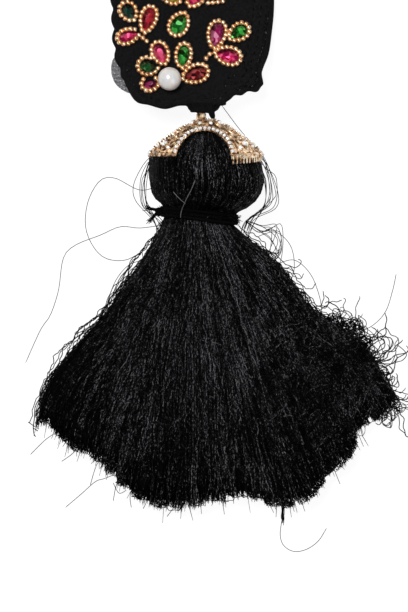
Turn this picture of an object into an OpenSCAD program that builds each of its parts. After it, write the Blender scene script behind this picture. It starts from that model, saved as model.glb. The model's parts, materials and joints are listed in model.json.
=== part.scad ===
// Braid tassel: an embroidered end panel, a gold dome cap with three stone-set arches,
// and a silk tassel tied at the neck. It lies on its back. X runs across it, Y from the
// fringe up to the panel, Z up from the surface that it lies on. Millimetres.

/* [Panel] */
// Thickness of the padded panel
panel_t = 6; // [4.5:0.5:7]
// Height to which the panel's lower end bends up to meet the cap
panel_rise = 18; // [17:0.5:19]
// Thickness of the net and of the loop's tape
sheet_t = 1; // [0.8:0.1:1.4]
// Depth of the scallops along the panel's left edge
scallop_d = 1.3; // [0:0.1:2]
// Diameter of the sewn loop's round opening
loop_bore_d = 10; // [8:0.5:12]
// Width of the loop's tape
loop_band_w = 3.5; // [2.5:0.5:5]

/* [Stones] */
// Diameter of the pearl
pearl_d = 10; // [8:0.5:11]
// Height of the pear-cut stones on the panel
stone_h = 1.9; // [1.2:0.1:2.6]
// Share of a stone's outline that its flat table takes
table_share = 0.5; // [0.35:0.05:0.65]

/* [Cap] */
// Radius of the dome at its mouth
cap_r = 23.3; // [22.8:0.1:23.6]
// Height at which the dome's curve would close
dome_h = 17; // [16.6:0.1:17.6]
// Thickness of the dome's metal
cap_wall = 1; // [0.8:0.1:1.2]
// Radius of each arch cut in the dome
arch_r = 11.9; // [11.5:0.1:12.2]
// Stones set round each arch
arch_stone_count = 19; // [13:2:19]
// Radius of a stone's cup on the arches
cup_r = 0.9; // [0.8:0.05:0.95]
// Bars hanging from each leg's rim
bar_count = 13; // [9:1:14]
// Radius of the short barrel on top of the dome
knob_r = 2.1; // [1.9:0.1:2.2]

/* [Tassel] */
// Length of the skirt's threads below the tie
skirt_len = 121; // [100:1:130]
// Angle to which the threads spread on the left
spread_left = 34; // [24:1:36]
// Angle to which the threads spread on the right
spread_right = 44; // [30:1:48]
// Half width of the tied neck
neck_w = 15; // [14:0.5:15]
// Half height of the tied neck
neck_h = 12; // [11:0.5:12]
// Diameter of the tie's cord
tie_d = 1.7; // [1.4:0.1:1.8]
// Locks across the top of the skirt
lock_count = 12; // [12, 16, 24]

/* [Hidden] */
gap = 0.1;                  // clear space between pieces that meet
arches = 3;                 // arches, and legs between them, round the dome
fine = 48;                  // sides of round forms
coarse = 12;                // sides of small faceted ones
wave_mean = 0.6;            // mean of the waves laid on outlines, which keeps their size

// Colours
black_cloth = [0.03, 0.03, 0.035];
black_silk = [0.02, 0.02, 0.024];
net_grey = [0.25, 0.25, 0.26];
gold = [0.83, 0.62, 0.33];
crystal = [0.93, 0.93, 0.95];
pearl_white = [0.93, 0.91, 0.88];
teal = [0.02, 0.2, 0.16];
red = [0.72, 0.05, 0.15];
rose = [0.85, 0.1, 0.3];
green = [0.05, 0.55, 0.12];
deep_green = [0.01, 0.22, 0.06];
olive = [0.35, 0.33, 0.05];
magenta = [0.7, 0.08, 0.5];
purple = [0.38, 0.02, 0.18];
garnet = [0.45, 0.02, 0.05];

// Outline of the panel as seen from above, clockwise from the middle of its hidden top
// edge, one row for each turn of the edge: x, y
PANEL_EDGE = [
    [10, 114.5], [24.5, 113.6], [27.8, 110.5], [29.2, 100], [29.3, 88], [28.4, 78.3],
    [27.0, 68.8], [24.2, 61.0], [24.5, 55.6], [22.8, 53.0], [18.6, 52.0], [12.4, 50.2],
    [9.0, 47.9], [6.8, 46.15], [-8.8, 46.15], [-12.0, 46.0], [-17.8, 44.7], [-24.5, 46.4],
    [-29.8, 47.8], [-33.6, 53.2], [-38.2, 64.5], [-39.8, 73], [-40.4, 84], [-40.7, 96],
    [-39.0, 110.5], [-36.5, 113.6], [-20, 114.5], [-6, 114.8]];
panel_mid = [-6, 80];       // the point from which the panel's edge is scaled inwards
panel_far = 115;            // the far end, which lies on the surface
neck_edge = 46.15;          // the edge that the fabric is gathered from
panel_run = panel_far - neck_edge;
bend = 1.8;                 // how much of the bend comes near the lower end
panel_base = sheet_t + gap; // the panel lies on the loop's tongue
panel_top = panel_base + panel_t;
edge_steps = 4;             // points between two rows of the panel's outline
scallop_pitch = 8.6;        // length of a scallop along the left edge
scallop_y = [58, 108];      // stretch of the left edge that is scalloped
scallop_x = -26;            // only the edge left of here is scalloped

// Sections of the panel's rolled edge, from its underside up: height share, inset
PANEL_ROLL = [[0, 1.2], [0.16, 0.3], [0.4, 0], [0.68, 0.2], [0.88, 1.0], [1, 2.6]];

// Outline of the net where it shows past the panel, and its hidden part: x, y
NET_EDGE = [
    [-30, 70.5], [-36, 70.2], [-40.0, 66.4], [-40.8, 61.9], [-40.1, 58.0], [-38.2, 54.9],
    [-35.5, 52.8], [-32.6, 51.7], [-29, 52.6], [-27.4, 58], [-27.8, 65]];
net_drop = 0.3;             // the net hangs this far below the panel's underside
tongue_end = 104;           // end of the loop's tongue under the panel
loop_y = 122;               // centre of the loop's opening

// Stones on the panel: x, y, length, width, direction of the point, how pointed, colour
STONES = [
    [-33.3, 86.6, 6.8, 5.6, -60, 0.5, teal],
    [-24.9, 83.2, 9.9, 5.6, -106, 0.6, red],
    [-33.2, 76.0, 8.0, 5.0, 20, 0.7, rose],
    [-11.6, 81.2, 8.8, 6.6, 60, 0.4, green],
    [-4.4, 93.4, 8.4, 6.2, -122, 0.4, rose],
    [-15.0, 93.8, 7.6, 5.6, -40, 0.4, olive],
    [4.6, 76.6, 10.2, 6.6, -102, 0.6, magenta],
    [14.1, 77.6, 7.6, 5.8, -145, 0.5, green],
    [9.4, 67.4, 9.4, 6.4, 165, 0.5, rose],
    [-19.6, 68.4, 8.4, 5.6, -68, 0.5, rose],
    [-9.7, 67.4, 8.8, 4.9, -96, 0.3, green],
    [-24.9, 62.8, 6.8, 6.0, -15, 0.3, deep_green],
    [-23.9, 55.2, 5.6, 4.4, 12, 0.3, purple],
    [-4.6, 59.4, 9.6, 6.4, -160, 0.5, garnet]];
STONE_NAMES = [for (i = [0:len(STONES) - 1]) str("stone_", i < 9 ? "0" : "", i + 1)];
ARCH_NAMES = [for (i = [0:arches - 1]) str("arch_stones_", i + 1)];
LEG_NAMES = [for (i = [0:arches - 1]) str("leg_stones_", i + 1)];

stone_sides = 12;           // sides of a pear-cut stone
girdle = 0.35;              // share of a stone's height up to its girdle
pearl_at = [-15.7, 57.6];   // centre of the pearl on the panel
pearl_flat = 0.7;           // height ground off the pearl where it is sewn down

// Fabric gathered from the panel up to the cap: share of the way, half width, half
// thickness
GATHER = [
    [0, 7.5, 2.2], [0.15, 6.8, 2.2], [0.32, 6.2, 2.1], [0.5, 5.8, 2.0], [0.68, 5.4, 1.9],
    [0.85, 4.9, 1.7], [1, 4.2, 1.4]];
gather_x = [-1.0, -1.5];    // middle of the fabric where it leaves the panel, and at the cap
gather_pull = 1.6;          // how far the fabric keeps the panel's and the cap's direction
gather_lean = 52;           // how far its sections lean on the way up
gather_sides = 36;          // sides of its sections
pleats = 9;                 // folds round the gathered fabric
pleat_d = 0.35;             // depth of those folds
cord_r = 0.9;               // cord that runs from the gathered fabric through the cap
cord_l = 6.4;
cord_in = 0.6;              // how far the cord reaches up into the fabric
// Fold of the fabric that hangs beside the knob: place along the cap, sideways, radius
FOLD = [[18.7, 1.95, 1.6], [16.8, 2.9, 1.0]];

// The cap's place: its mouth's centre, its tilt, and the turn of its arches
cap_at = [0, 24.7, 24.7];
cap_tilt = 5;
cap_turn = -3;
dome_swell = 0.85;          // under 1 draws the dome in above its shoulder
dome_top = 14.6;            // height where the dome meets its collar
dome_steps = 12;
dome_dh = 0.1;              // step over which the dome's slope is taken
arch_drop = 0.4;            // arch centres lie this far below the mouth
arch_stone_gap = 0.7;       // from the arch's edge to the line of its stones
arch_sweep = 74;            // the last stones stand this far round from the crown
band_h = 2.4;               // band round the mouth
band_t = 0.45;
band_edge = 0.3;            // height over which its upper edge slopes in
solder = 0.2;               // how far soldered forms reach into each other
leg_inset = 2;              // angle left free between a leg's bars and the arch beside it
leg_span = 360 / arches - 2 * (asin(arch_r / cap_r) + leg_inset);
collar_r = 4.3;
collar_h = 2.2;
collar_in = 1.4;            // how far the collar reaches down into the dome
knob_h = 16.8;              // height of the knob's centre
knob_side = -2;             // the knob stands this far to the right of the cap's middle line
knob_l = 3.2;               // its length
knob_edge = 0.5;            // bevel of its two edges
knob_top = knob_h + knob_l / 2 + 2 * gap;
bore_r = 1.15;
bar_r = 0.42;
bar_out = 0.2;              // from the mouth's edge out to the bars' middle
bar_top = 1.6;              // they reach this far above the mouth, and this far below it
bar_low = 1.7;
petal_count = 8;            // stones round the collar
petal_r = 0.8;
petal_at = [6.2, 14.4];     // their distance from the cap's middle line, and their height
petal_face = 58;            // angle between that line and the way they face
petal_foot = 1.1;           // length of the collet that each stands on
// Stones on each leg: angle from the leg's middle, height, radius, how far they stand out
LEG_STONES = [[0, 5.4, 1.4, 0], [-13, 4.1, 0.85, 0], [13, 4.1, 0.85, 0]];
// The same for the stone on the outer corner of each leg beside the front arch
CORNER_STONES = [[25, 0.7, 1.2, 0.5], [], [-25, 0.7, 1.2, 0.5]];
collet_h = 0.5;             // height of a collet over the dome
collet_edge = 0.3;          // its width round the stone
cup_h = 0.7;                // height of a cup over the dome, on the arches
set_h = 0.8;                // height of a stone in a cup or collet, as a share of its radius
set_table = 0.55;           // share of its outline that its table takes
// Leaves in relief on each leg: angle from the leg's middle, height, direction, length
LEAVES = [[-2, 3.2, -115, 2.8], [2, 3.2, 115, 2.8], [0, 7.2, 180, 3.6], [-3, 7, -130, 2.6],
    [3, 7, 130, 2.6]];
leaf_r = [0.7, 0.25];
leaf_in = 0.6;              // a leaf starts this far from its place

// The tied neck's place
neck_x = -3.0;
neck_y = -0.85;             // the tie's middle
skirt_y = -3.4;             // the lower end of the neck, where the skirt starts
neck_z = 14.6;
neck_skew = -0.115;         // the tie runs down to the right

// Sections of the silk head, from inside the cap down to the tie: y, x of the middle,
// half width, z of the middle, height above it, depth below it, bulge through the arches,
// lean, skew
HEAD = [
    [36.4, 0, 6.5, 25.7, 6.5, 6.5, 0, 0.087, 0],
    [34.4, 0, 10.2, 25.6, 10.2, 10.2, 0.6, 0.087, 0],
    [31.2, 0, 15.4, 25.3, 15.4, 15.4, 1.2, 0.087, 0],
    [28.0, 0, 19.4, 25.0, 19.4, 19.4, 1.6, 0.087, 0],
    [24.7, 0, 21.7, 24.7, 21.7, 21.7, 1.6, 0.087, 0],
    [20.4, 0.1, 23.0, 24.1, 22.1, 23.0, 1.0, 0.07, 0],
    [14.6, 0.2, 24.2, 23.2, 22.4, 22.8, 0.7, 0.04, 0],
    [8.4, -0.3, 22.8, 20.8, 20.9, 20.4, 0.6, 0.01, -0.03],
    [4.2, -1.4, 19.4, 17.4, 17.4, 16.9, 0.3, 0, -0.07],
    [1.7, -3.0, neck_w, neck_z, neck_h, neck_h, 0, 0, neck_skew],
    [skirt_y, -3.0, neck_w, neck_z, neck_h, neck_h, 0, 0, neck_skew]];
head_step = 0.75;           // rows of the table between two sections
head_end = 9;               // the last of those sections, counted in rows
bundle_edge = 36;           // creases stand this far round from each arch's middle
crease_d = 1.1;
crease_w = 6;

// Height of the skirt from the tie to the ends of the threads: share of the length,
// z of the middle, height above it, depth below it, fullness of the section
SKIRT = [
    [0, neck_z, neck_h, neck_h, 1], [0.05, 13.8, 13.2, 12.8, 1], [0.2, 10.9, 14.0, 10.6, 0.92],
    [0.4, 8.0, 13.4, 7.8, 0.85], [0.6, 6.0, 12.3, 5.8, 0.8], [0.8, 4.6, 11.0, 4.4, 0.75],
    [1, 3.4, 9.4, 3.2, 0.72]];
// Length of the threads across the skirt, as a share of skirt_len, evenly from left to right
SKIRT_LENGTHS = [0.82, 0.90, 0.955, 1.0, 1.0, 1.035, 0.965, 0.875, 0.79];
// Sideways swell of the skirt's left and right edges: near the tie, near the ends
SIDE_SWELL = [[-15.4, 28], [14, 18.2]];
ring_n = 96;                // points round a section of the tassel
skirt_rings = 9;
ring_spread = 1.3;          // over 1 sets the rings closer near the tie
lock_d = 1.6;               // relief of the locks
notch_d = 2.6;              // the ends fall back this far between locks
jag = 2.4;                  // uneven length of the locks
stray_at = 105;             // angle of the section where one lock hangs out furthest
stray_w = 5;
stray_l = 9;

// Section of the tie's three turns, from its inner face, in cord diameters: out, along
TIE_SECTION = [
    [0, -1.35], [0.75, -1.35], [1, -0.91], [0.7, -0.46], [1, 0], [0.7, 0.46], [1, 0.91],
    [0.75, 1.35], [0, 1.35], [0, 0]];
tie_gap = 0.15;             // clear space between the tie and the silk
tie_sides = 48;
knot_at = [-2.2, 1.7, 1];   // the knot's place beside the neck's left end
knot_r = 1.8;
// Far ends of the knot's two tails, from the knot
TAILS = [[-4.2, 1.2, -0.5], [-2.9, -3.0, -0.8]];
tail_r = [0.9, 0.65];

// Whole object, moved so that the origin is under the middle of its box
END_RING = skirt_ring(1);
low = [min([for (p = END_RING) p.x]), min([for (p = END_RING) p.y])];
high = [max([for (p = END_RING) p.x]), loop_y + loop_bore_d / 2 + loop_band_w];
middle = (low + high) / 2;

// Curves and lists

function mix(a, b, t) = a + (b - a) * t;

// Smooth curve through four values, from the second to the third
function smooth(a, b, c, d, t) =
    0.5 * (2 * b + (c - a) * t + (2 * a - 5 * b + 4 * c - d) * t * t
        + (3 * b - a - 3 * c + d) * t * t * t);

// Row of a table at a place between its rows, counted in rows
function row_at(table, u) =
    let (last = len(table) - 1, i = min(floor(u), last - 1))
    smooth(table[max(i - 1, 0)], table[i], table[i + 1], table[min(i + 2, last)], u - i);

// Place between a table's rows where its first column reaches a value
function place_of(table, value, i = 0) =
    i >= len(table) - 2 || table[i + 1][0] >= value
        ? i + (value - table[i][0]) / (table[i + 1][0] - table[i][0])
        : place_of(table, value, i + 1);

function unit(v) = v / norm(v);

// Closed solid through rings of points, each ring running the same way round
module skin(rings) {
    n = len(rings[0]);
    last = len(rings) - 1;
    sides = [
        for (i = [0:last - 1], j = [0:n - 1])
            let (k = (j + 1) % n)
            each [[i * n + j, i * n + k, (i + 1) * n + k],
                  [i * n + j, (i + 1) * n + k, (i + 1) * n + j]]];
    // each end is closed by strips between points that stand opposite each other
    caps = [
        for (j = [0:n / 2 - 1])
            let (a = j, b = j + 1, c = n - j - 1, d = (n - j) % n)
            each [if (b != c) [c, b, a], if (a != d) [d, c, a],
                  if (b != c) [last * n + a, last * n + b, last * n + c],
                  if (a != d) [last * n + a, last * n + c, last * n + d]]];
    polyhedron(
        points = [for (ring = rings) each ring],
        faces = concat(sides, caps));
}

// Panel, net and loop

function edge_at(u) =
    let (n = len(PANEL_EDGE), i = floor(u), t = u - i)
    smooth(PANEL_EDGE[(i + n - 1) % n], PANEL_EDGE[i % n], PANEL_EDGE[(i + 1) % n],
        PANEL_EDGE[(i + 2) % n], t);

// Outward swell of the scalloped left edge at a point of it
function scallop(p) =
    p.x > scallop_x || p.y < scallop_y[0] || p.y > scallop_y[1] ? 0
        : scallop_d * (abs(cos(180 * (p.y - scallop_y[0]) / scallop_pitch)) - wave_mean);

PANEL_RING = [
    for (u = [-0.5:1 / edge_steps:len(PANEL_EDGE) - 0.5 - 1 / edge_steps])
        let (p = edge_at(u < 0 ? u + len(PANEL_EDGE) : u)) [p.x - scallop(p), p.y]];

function inset(points, d) =
    [for (p = points) let (v = p - panel_mid) p - v * d / norm(v)];

// Height and slope of the bent panel's underside at a distance up it
function rise(y) = panel_rise * pow(max(panel_far - y, 0) / panel_run, bend);
function slope(y) =
    atan(bend * panel_rise / panel_run * pow(max(panel_far - y, 0) / panel_run, bend - 1));

// Points of a flat outline, lifted onto the bent panel at a height over its underside
function bent(points, h) = [for (p = points) [p.x, p.y, rise(p.y) + h]];

module panel() {
    color(black_cloth)
        skin([
            for (roll = PANEL_ROLL)
                bent(inset(PANEL_RING, roll[1]), panel_base + roll[0] * panel_t)]);
}

module net_backing() {
    color(net_grey)
        skin([bent(NET_EDGE, -net_drop), bent(NET_EDGE, sheet_t - net_drop)]);
}

module hair_loop() {
    r = loop_bore_d / 2 + loop_band_w;
    color(black_cloth)
        linear_extrude(sheet_t)
            translate([panel_mid.x, loop_y])
                difference() {
                    union() {
                        circle(r);
                        translate([-r, tongue_end - loop_y])
                            square([2 * r, loop_y - tongue_end]);
                    }
                    circle(d = loop_bore_d);
                }
}

// Stones and pearl

// Pear outline about its middle, with its point along +X
function pear(l, w, pointed, n = stone_sides) =
    [for (i = [0:n - 1])
        let (a = -360 * (i + 0.5) / n)
        [l / 2 * cos(a), w / 2 * sin(a) * pow(abs(sin(a / 2)), pointed)]];

module cut_stone(outline, h, share) {
    skin([
        [for (p = outline) [p.x, p.y, 0]],
        [for (p = outline) [p.x, p.y, girdle * h]],
        [for (p = outline) [p.x * share, p.y * share, h]]]);
}

module on_panel(at) {
    translate([at.x, at.y, rise(at.y) + panel_top + 2 * gap])
        rotate([-slope(at.y), 0, 0])
            children();
}

module stone(i) {
    s = STONES[i];
    color(s[6])
        on_panel([s[0], s[1]])
            rotate(s[4])
                cut_stone(pear(s[2], s[3], s[5]), stone_h, table_share);
}

module pearl() {
    r = pearl_d / 2;
    color(pearl_white)
        on_panel(pearl_at - [0, (r - pearl_flat) * sin(slope(pearl_at.y))])
            translate([0, 0, -pearl_flat])
                difference() {
                    translate([0, 0, r])
                        sphere(r, $fn = fine);
                    translate([-r, -r, -1])
                        cube([2 * r, 2 * r, 1 + pearl_flat]);
                }
}

// Gathered fabric

// Corners of the curve that the gathered fabric follows, as y and z
function way_out(angle, d) = d * [cos(angle), sin(angle)];
gather_from = [neck_edge - 1.5 * gap, rise(neck_edge) + panel_base + panel_t / 2];
gather_to = [cap_at.y, cap_at.z] + way_out(cap_tilt, knob_top);
GATHER_CURVE = [
    gather_from, gather_from + way_out(180 - slope(neck_edge), gather_pull),
    gather_to + way_out(cap_tilt, gather_pull), gather_to];

function curve(c, t) =
    pow(1 - t, 3) * c[0] + 3 * pow(1 - t, 2) * t * c[1] + 3 * (1 - t) * t * t * c[2]
        + pow(t, 3) * c[3];

module gathered_neck() {
    rings = [
        for (g = GATHER)
            let (
                t = g[0],
                at = curve(GATHER_CURVE, t),
                up = way_out(90 - gather_lean * sin(180 * t), 1))
            [for (j = [0:gather_sides - 1])
                let (
                    w = 360 * j / gather_sides,
                    fold = 1 + (t > 0 ? pleat_d / 2 / g[2] * sin(pleats * w) : 0),
                    p = at + up * g[2] * sin(w) * fold)
                [mix(gather_x[0], gather_x[1], t) - g[1] * cos(w) * fold, p.x, p.y]]];
    color(black_cloth) {
        skin(rings);
        place_cap()
            rotate(90 - cap_turn) {
                translate([knob_side, 0, knob_top + cord_in - cord_l])
                    cylinder(r = cord_r, h = cord_l, $fn = coarse);
                hull()
                    for (f = FOLD)
                        translate([f[1], 0, f[0]])
                            sphere(f[2], $fn = coarse);
            }
    }
}

// Cap

module place_cap() {
    translate(cap_at)
        rotate([cap_tilt, 0, 0])
            rotate(a = -120, v = [1, 1, 1])
                rotate(cap_turn)
                    children();
}

function dome_at(h) = cap_r * cos(90 * pow(max(h, 0) / dome_h, dome_swell));
function dome_slope(h) =
    (dome_at(h + dome_dh) - dome_at(h - dome_dh)) / (dome_dh + min(h, dome_dh));

// Outward direction of the dome at an angle and a height
function dome_normal(az, h) =
    unit([cos(az), sin(az), -dome_slope(h)]);
function dome_point(az, h) =
    let (r = dome_at(h)) [r * cos(az), r * sin(az), h];

// Turns children's +Z along a direction
module aim(v) {
    rotate([0, acos(v.z / norm(v)), atan2(v.y, v.x)])
        children();
}

// A stone's place on the arch that faces +X, and the way it faces
function arch_point(a) =
    let (
        r = arch_r + arch_stone_gap,
        y = r * sin(a),
        h = r * cos(a) - arch_drop)
    [sqrt(pow(dome_at(h), 2) - y * y), y, h];
function arch_facing(a) =
    let (p = arch_point(a), n = dome_normal(atan2(p.y, p.x), p.z))
    unit(n + [1, 0, 0]);

module on_arch() {
    step = 2 * arch_sweep / (arch_stone_count - 1);
    for (i = [0:arch_stone_count - 1]) {
        a = -arch_sweep + i * step;
        translate(arch_point(a))
            aim(arch_facing(a))
                children();
    }
}

module on_dome(az, h) {
    translate(dome_point(az, h))
        aim(dome_normal(az, h))
            children();
}

module dome() {
    hs = [for (i = [0:dome_steps]) dome_top * i / dome_steps];
    outer = [for (h = hs) [dome_at(h), h]];
    inner = [
        for (h = hs)
            let (n = unit([1, -dome_slope(h)]))
            [dome_at(h) - cap_wall * n.x, max(h - cap_wall * n.y, 0)]];
    rotate_extrude($fn = 2 * fine)
        polygon(concat(outer, [for (i = [dome_steps:-1:0]) inner[i]]));
    rotate_extrude($fn = 2 * fine)
        polygon([
            [dome_at(0) - cap_wall / 2, 0], [dome_at(0) + band_t, 0],
            [dome_at(band_h / 2) + band_t, band_h - band_edge],
            [dome_at(band_h) - solder, band_h]]);
}

// Short barrel with bevelled edges
module knob() {
    half = knob_l / 2;
    rotate_extrude($fn = fine)
        polygon([
            [0, -half], [knob_r - knob_edge, -half], [knob_r, knob_edge - half],
            [knob_r, half - knob_edge], [knob_r - knob_edge, half], [0, half]]);
}

module cap() {
    color(gold)
        place_cap()
            difference() {
                union() {
                    difference() {
                        dome();
                        for (k = [0:arches - 1])
                            rotate(360 / arches * k)
                                translate([0, 0, -arch_drop])
                                    rotate([0, 90, 0])
                                        cylinder(r = arch_r, h = 2 * cap_r, $fn = 2 * fine);
                    }
                    for (k = [0:arches - 1])
                        rotate(360 / arches * k) {
                            on_arch()
                                translate([0, 0, -cap_wall])
                                    cylinder(r = cup_r, h = cap_wall + cup_h, $fn = 24);
                            rotate(180 / arches)
                                leg_metal(k);
                        }
                    round_collar()
                        translate([0, 0, -petal_foot])
                            cylinder(r = petal_r + collet_edge, h = petal_foot, $fn = 24);
                    translate([0, 0, dome_top - collar_in])
                        cylinder(r = collar_r, h = collar_h, $fn = fine);
                    rotate(90 - cap_turn)
                        translate([knob_side, 0, knob_h])
                            knob();
                }
                rotate(90 - cap_turn)
                    translate([knob_side, 0, 0])
                        cylinder(r = bore_r, h = knob_h + knob_l, $fn = 24);
            }
}

function stones_on(k) = [each LEG_STONES, if (len(CORNER_STONES[k]) > 0) CORNER_STONES[k]];

// Bars, collets and leaves of a leg, which faces +X
module leg_metal(k) {
    for (i = [0:bar_count - 1])
        rotate(leg_span * (i / (bar_count - 1) - 0.5))
            translate([cap_r + bar_out, 0, -bar_low]) {
                cylinder(r = bar_r, h = bar_low + bar_top, $fn = 16);
                sphere(bar_r, $fn = 16);
            }
    for (s = stones_on(k))
        on_dome(s[0], s[1])
            translate([0, 0, s[3] - cap_wall / 2])
                cylinder(r = s[2] + collet_edge, h = cap_wall / 2 + collet_h, $fn = 32);
    for (leaf = LEAVES)
        on_dome(leaf[0], leaf[1])
            rotate([0, 0, leaf[2]])
                translate([leaf_in, 0, 0])
                    rotate([0, 90, 0])
                        cylinder(r1 = leaf_r[0], r2 = leaf_r[1], h = leaf[3], $fn = 16);
}

// Puts children at the stones round the collar, facing the way that they do
module round_collar() {
    for (i = [0:petal_count - 1])
        rotate(360 / petal_count * (i + 0.5))
            translate([petal_at.x, 0, petal_at.y])
                rotate([0, petal_face, 0])
                    children();
}

// Round stone of a cup or collet, with eight sides
module set_stone(r) {
    cut_stone([for (i = [7:-1:0]) r * [cos(45 * i), sin(45 * i)]], set_h * r, set_table);
}

module arch_stones(k) {
    color(crystal)
        place_cap()
            rotate(360 / arches * k)
                on_arch()
                    translate([0, 0, cup_h + gap / 2])
                        set_stone(cup_r - gap);
}

module leg_stones(k) {
    color(crystal)
        place_cap()
            rotate(360 / arches * (k + 0.5))
                for (s = stones_on(k))
                    on_dome(s[0], s[1])
                        translate([0, 0, s[3] + collet_h + gap / 2])
                            set_stone(s[2]);
}

module crown_stones() {
    color(crystal)
        place_cap()
            round_collar()
                translate([0, 0, gap / 2])
                    set_stone(petal_r);
}

// Silk

// How far round from the nearest arch's middle a point of the head stands
function from_arch(az) =
    let (each_way = 360 / arches, a = az - cap_turn, b = a - each_way * floor(a / each_way))
    min(b, each_way - b);

function crease(az) =
    let (d = from_arch(az) - bundle_edge) crease_d * exp(-d * d / (crease_w * crease_w));

// Section of the head at a place between the rows of its table. It starts at the left
// and runs over the top.
function head_ring(u) =
    let (r = row_at(HEAD, u), soft = min(r[2] / cap_r, 1) * min(head_end - u, 1))
    [for (j = [0:ring_n - 1])
        let (
            w = 360 * j / ring_n,
            az = 90 - (180 - w),
            swell = r[6] * pow(max(cos(arches * (az - cap_turn)), 0), 2)
                - soft * crease(az),
            x = -(r[2] + swell) * cos(w),
            z = ((w <= 180 ? r[4] : r[5]) + swell) * sin(w))
        [r[1] + x, r[0] - r[7] * z + r[8] * x, max(r[3] + z, gap)]];

// Length of the threads at a place across the skirt, from -1 on the left to 1
function thread_len(c) =
    let (u = (c + 1) / 2 * (len(SKIRT_LENGTHS) - 1))
    skirt_len * row_at(SKIRT_LENGTHS, u);

// Where a thread has got to, for its place across the skirt and its share of its length
function thread_at(c, s, longer = 0) =
    let (
        fan = mix(-spread_left, spread_right, (c + 1) / 2),
        l = (thread_len(c) + longer) * s,
        side = c < 0 ? SIDE_SWELL[0] : SIDE_SWELL[1],
        swell = c * abs(c) * (1 - s) * (side[0] * s * (1 - s) + side[1] * pow(s, 3)))
    [neck_x + neck_w * c + l * sin(fan) + swell * cos(fan),
     skirt_y + neck_skew * neck_w * c - l * cos(fan) + swell * sin(fan)];

// Uneven end of the lock at an angle of the section
function lock_end(w) =
    let (
        across = w <= 180 ? w : 360 - w,
        lock = across / 180 * lock_count,
        i = min(floor(lock), lock_count - 1),
        from_middle = abs(lock - i - 0.5) * 2,
        stray = stray_l * max(1 - abs(across - stray_at) / stray_w, 0))
    jag * sin(137.5 * i + 40) - notch_d * pow(from_middle, 3) + stray;

function skirt_ring(s) =
    let (r = row_at(SKIRT, place_of(SKIRT, s)))
    [for (j = [0:ring_n - 1])
        let (
            w = 360 * j / ring_n,
            at = thread_at(-cos(w), s, s == 1 ? lock_end(w) : 0),
            wave = abs(sin(lock_count * w)) - wave_mean,
            relief = w < 180 ? lock_d * min(2 * s, 1) * wave : 0,
            z = (w <= 180 ? r[2] : r[3]) * sign(sin(w)) * pow(abs(sin(w)), r[4]))
        [at.x, at.y, max(r[1] + z + relief, gap)]];

module silk_tassel() {
    color(black_silk)
        skin(concat(
            [for (u = [0:head_step:head_end]) head_ring(u)],
            [for (i = [0:skirt_rings]) skirt_ring(pow(i / skirt_rings, ring_spread))]));
}

// Tie

module neck_tie() {
    m = len(TIE_SECTION);
    points = [
        for (j = [0:tie_sides - 1], q = TIE_SECTION)
            let (
                w = 360 * j / tie_sides,
                out = tie_gap + q[0] * tie_d,
                x = -(neck_w + out) * cos(w))
            [neck_x + x, neck_y + neck_skew * x + q[1] * tie_d,
             neck_z + (neck_h + out) * sin(w)]];
    faces = [
        for (j = [0:tie_sides - 1], k = [0:m - 1])
            let (a = j * m + k, b = j * m + (k + 1) % m,
                 c = (j + 1) % tie_sides * m + (k + 1) % m, d = (j + 1) % tie_sides * m + k)
            each [[a, b, c], [a, c, d]]];
    color(black_cloth) {
        polyhedron(points = points, faces = faces);
        translate([neck_x - neck_w, neck_y, neck_z] + knot_at) {
            sphere(knot_r, $fn = coarse);
            for (tail = TAILS)
                hull() {
                    sphere(tail_r[0], $fn = coarse);
                    translate(tail)
                        sphere(tail_r[1], $fn = coarse);
                }
        }
    }
}

module centred() {
    translate([-middle.x, -middle.y, 0])
        children();
}

centred() {
    panel();
    net_backing();
    hair_loop();
    gathered_neck();
    cap();
    crown_stones();
    silk_tassel();
    neck_tie();
    pearl();
    for (k = [0:arches - 1]) {
        arch_stones(k);
        leg_stones(k);
    }
    for (i = [0:len(STONES) - 1])
        stone(i);
}
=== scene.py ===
import json

import bpy
import numpy as np
from mathutils import Matrix, Vector


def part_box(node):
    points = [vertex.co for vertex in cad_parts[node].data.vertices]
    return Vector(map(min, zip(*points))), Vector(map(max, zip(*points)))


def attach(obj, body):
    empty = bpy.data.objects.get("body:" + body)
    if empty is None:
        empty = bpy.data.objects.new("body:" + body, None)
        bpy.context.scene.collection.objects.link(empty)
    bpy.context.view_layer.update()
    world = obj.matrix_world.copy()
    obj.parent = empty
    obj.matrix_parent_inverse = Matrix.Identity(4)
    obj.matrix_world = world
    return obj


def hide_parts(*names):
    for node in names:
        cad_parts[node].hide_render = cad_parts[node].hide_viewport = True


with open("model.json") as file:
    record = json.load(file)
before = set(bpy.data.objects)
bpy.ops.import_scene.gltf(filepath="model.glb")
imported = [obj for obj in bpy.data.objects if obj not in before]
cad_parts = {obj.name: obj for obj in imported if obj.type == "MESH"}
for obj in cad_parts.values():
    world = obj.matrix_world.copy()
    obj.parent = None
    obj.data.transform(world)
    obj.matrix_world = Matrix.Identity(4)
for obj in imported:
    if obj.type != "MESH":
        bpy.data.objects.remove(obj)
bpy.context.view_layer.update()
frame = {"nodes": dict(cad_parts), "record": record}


# Camera: it looks straight down on the tassel, as in the photograph, from high up through
# a long lens. The picture's long side covers 263 mm at the height of the fringe.
view_long_side = 0.2632
view_middle = (-0.00365, -0.0405)
view_height = 0.012
lens_mm, sensor_mm = 600, 36

bpy.ops.object.camera_add(
    location=(*view_middle, view_height + view_long_side * lens_mm / sensor_mm), rotation=(0, 0, 0))
camera = bpy.context.object
camera.name = "camera"
camera.data.lens = lens_mm
camera.data.sensor_width = sensor_mm
camera.data.clip_end = 20
bpy.context.scene.camera = camera


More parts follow.
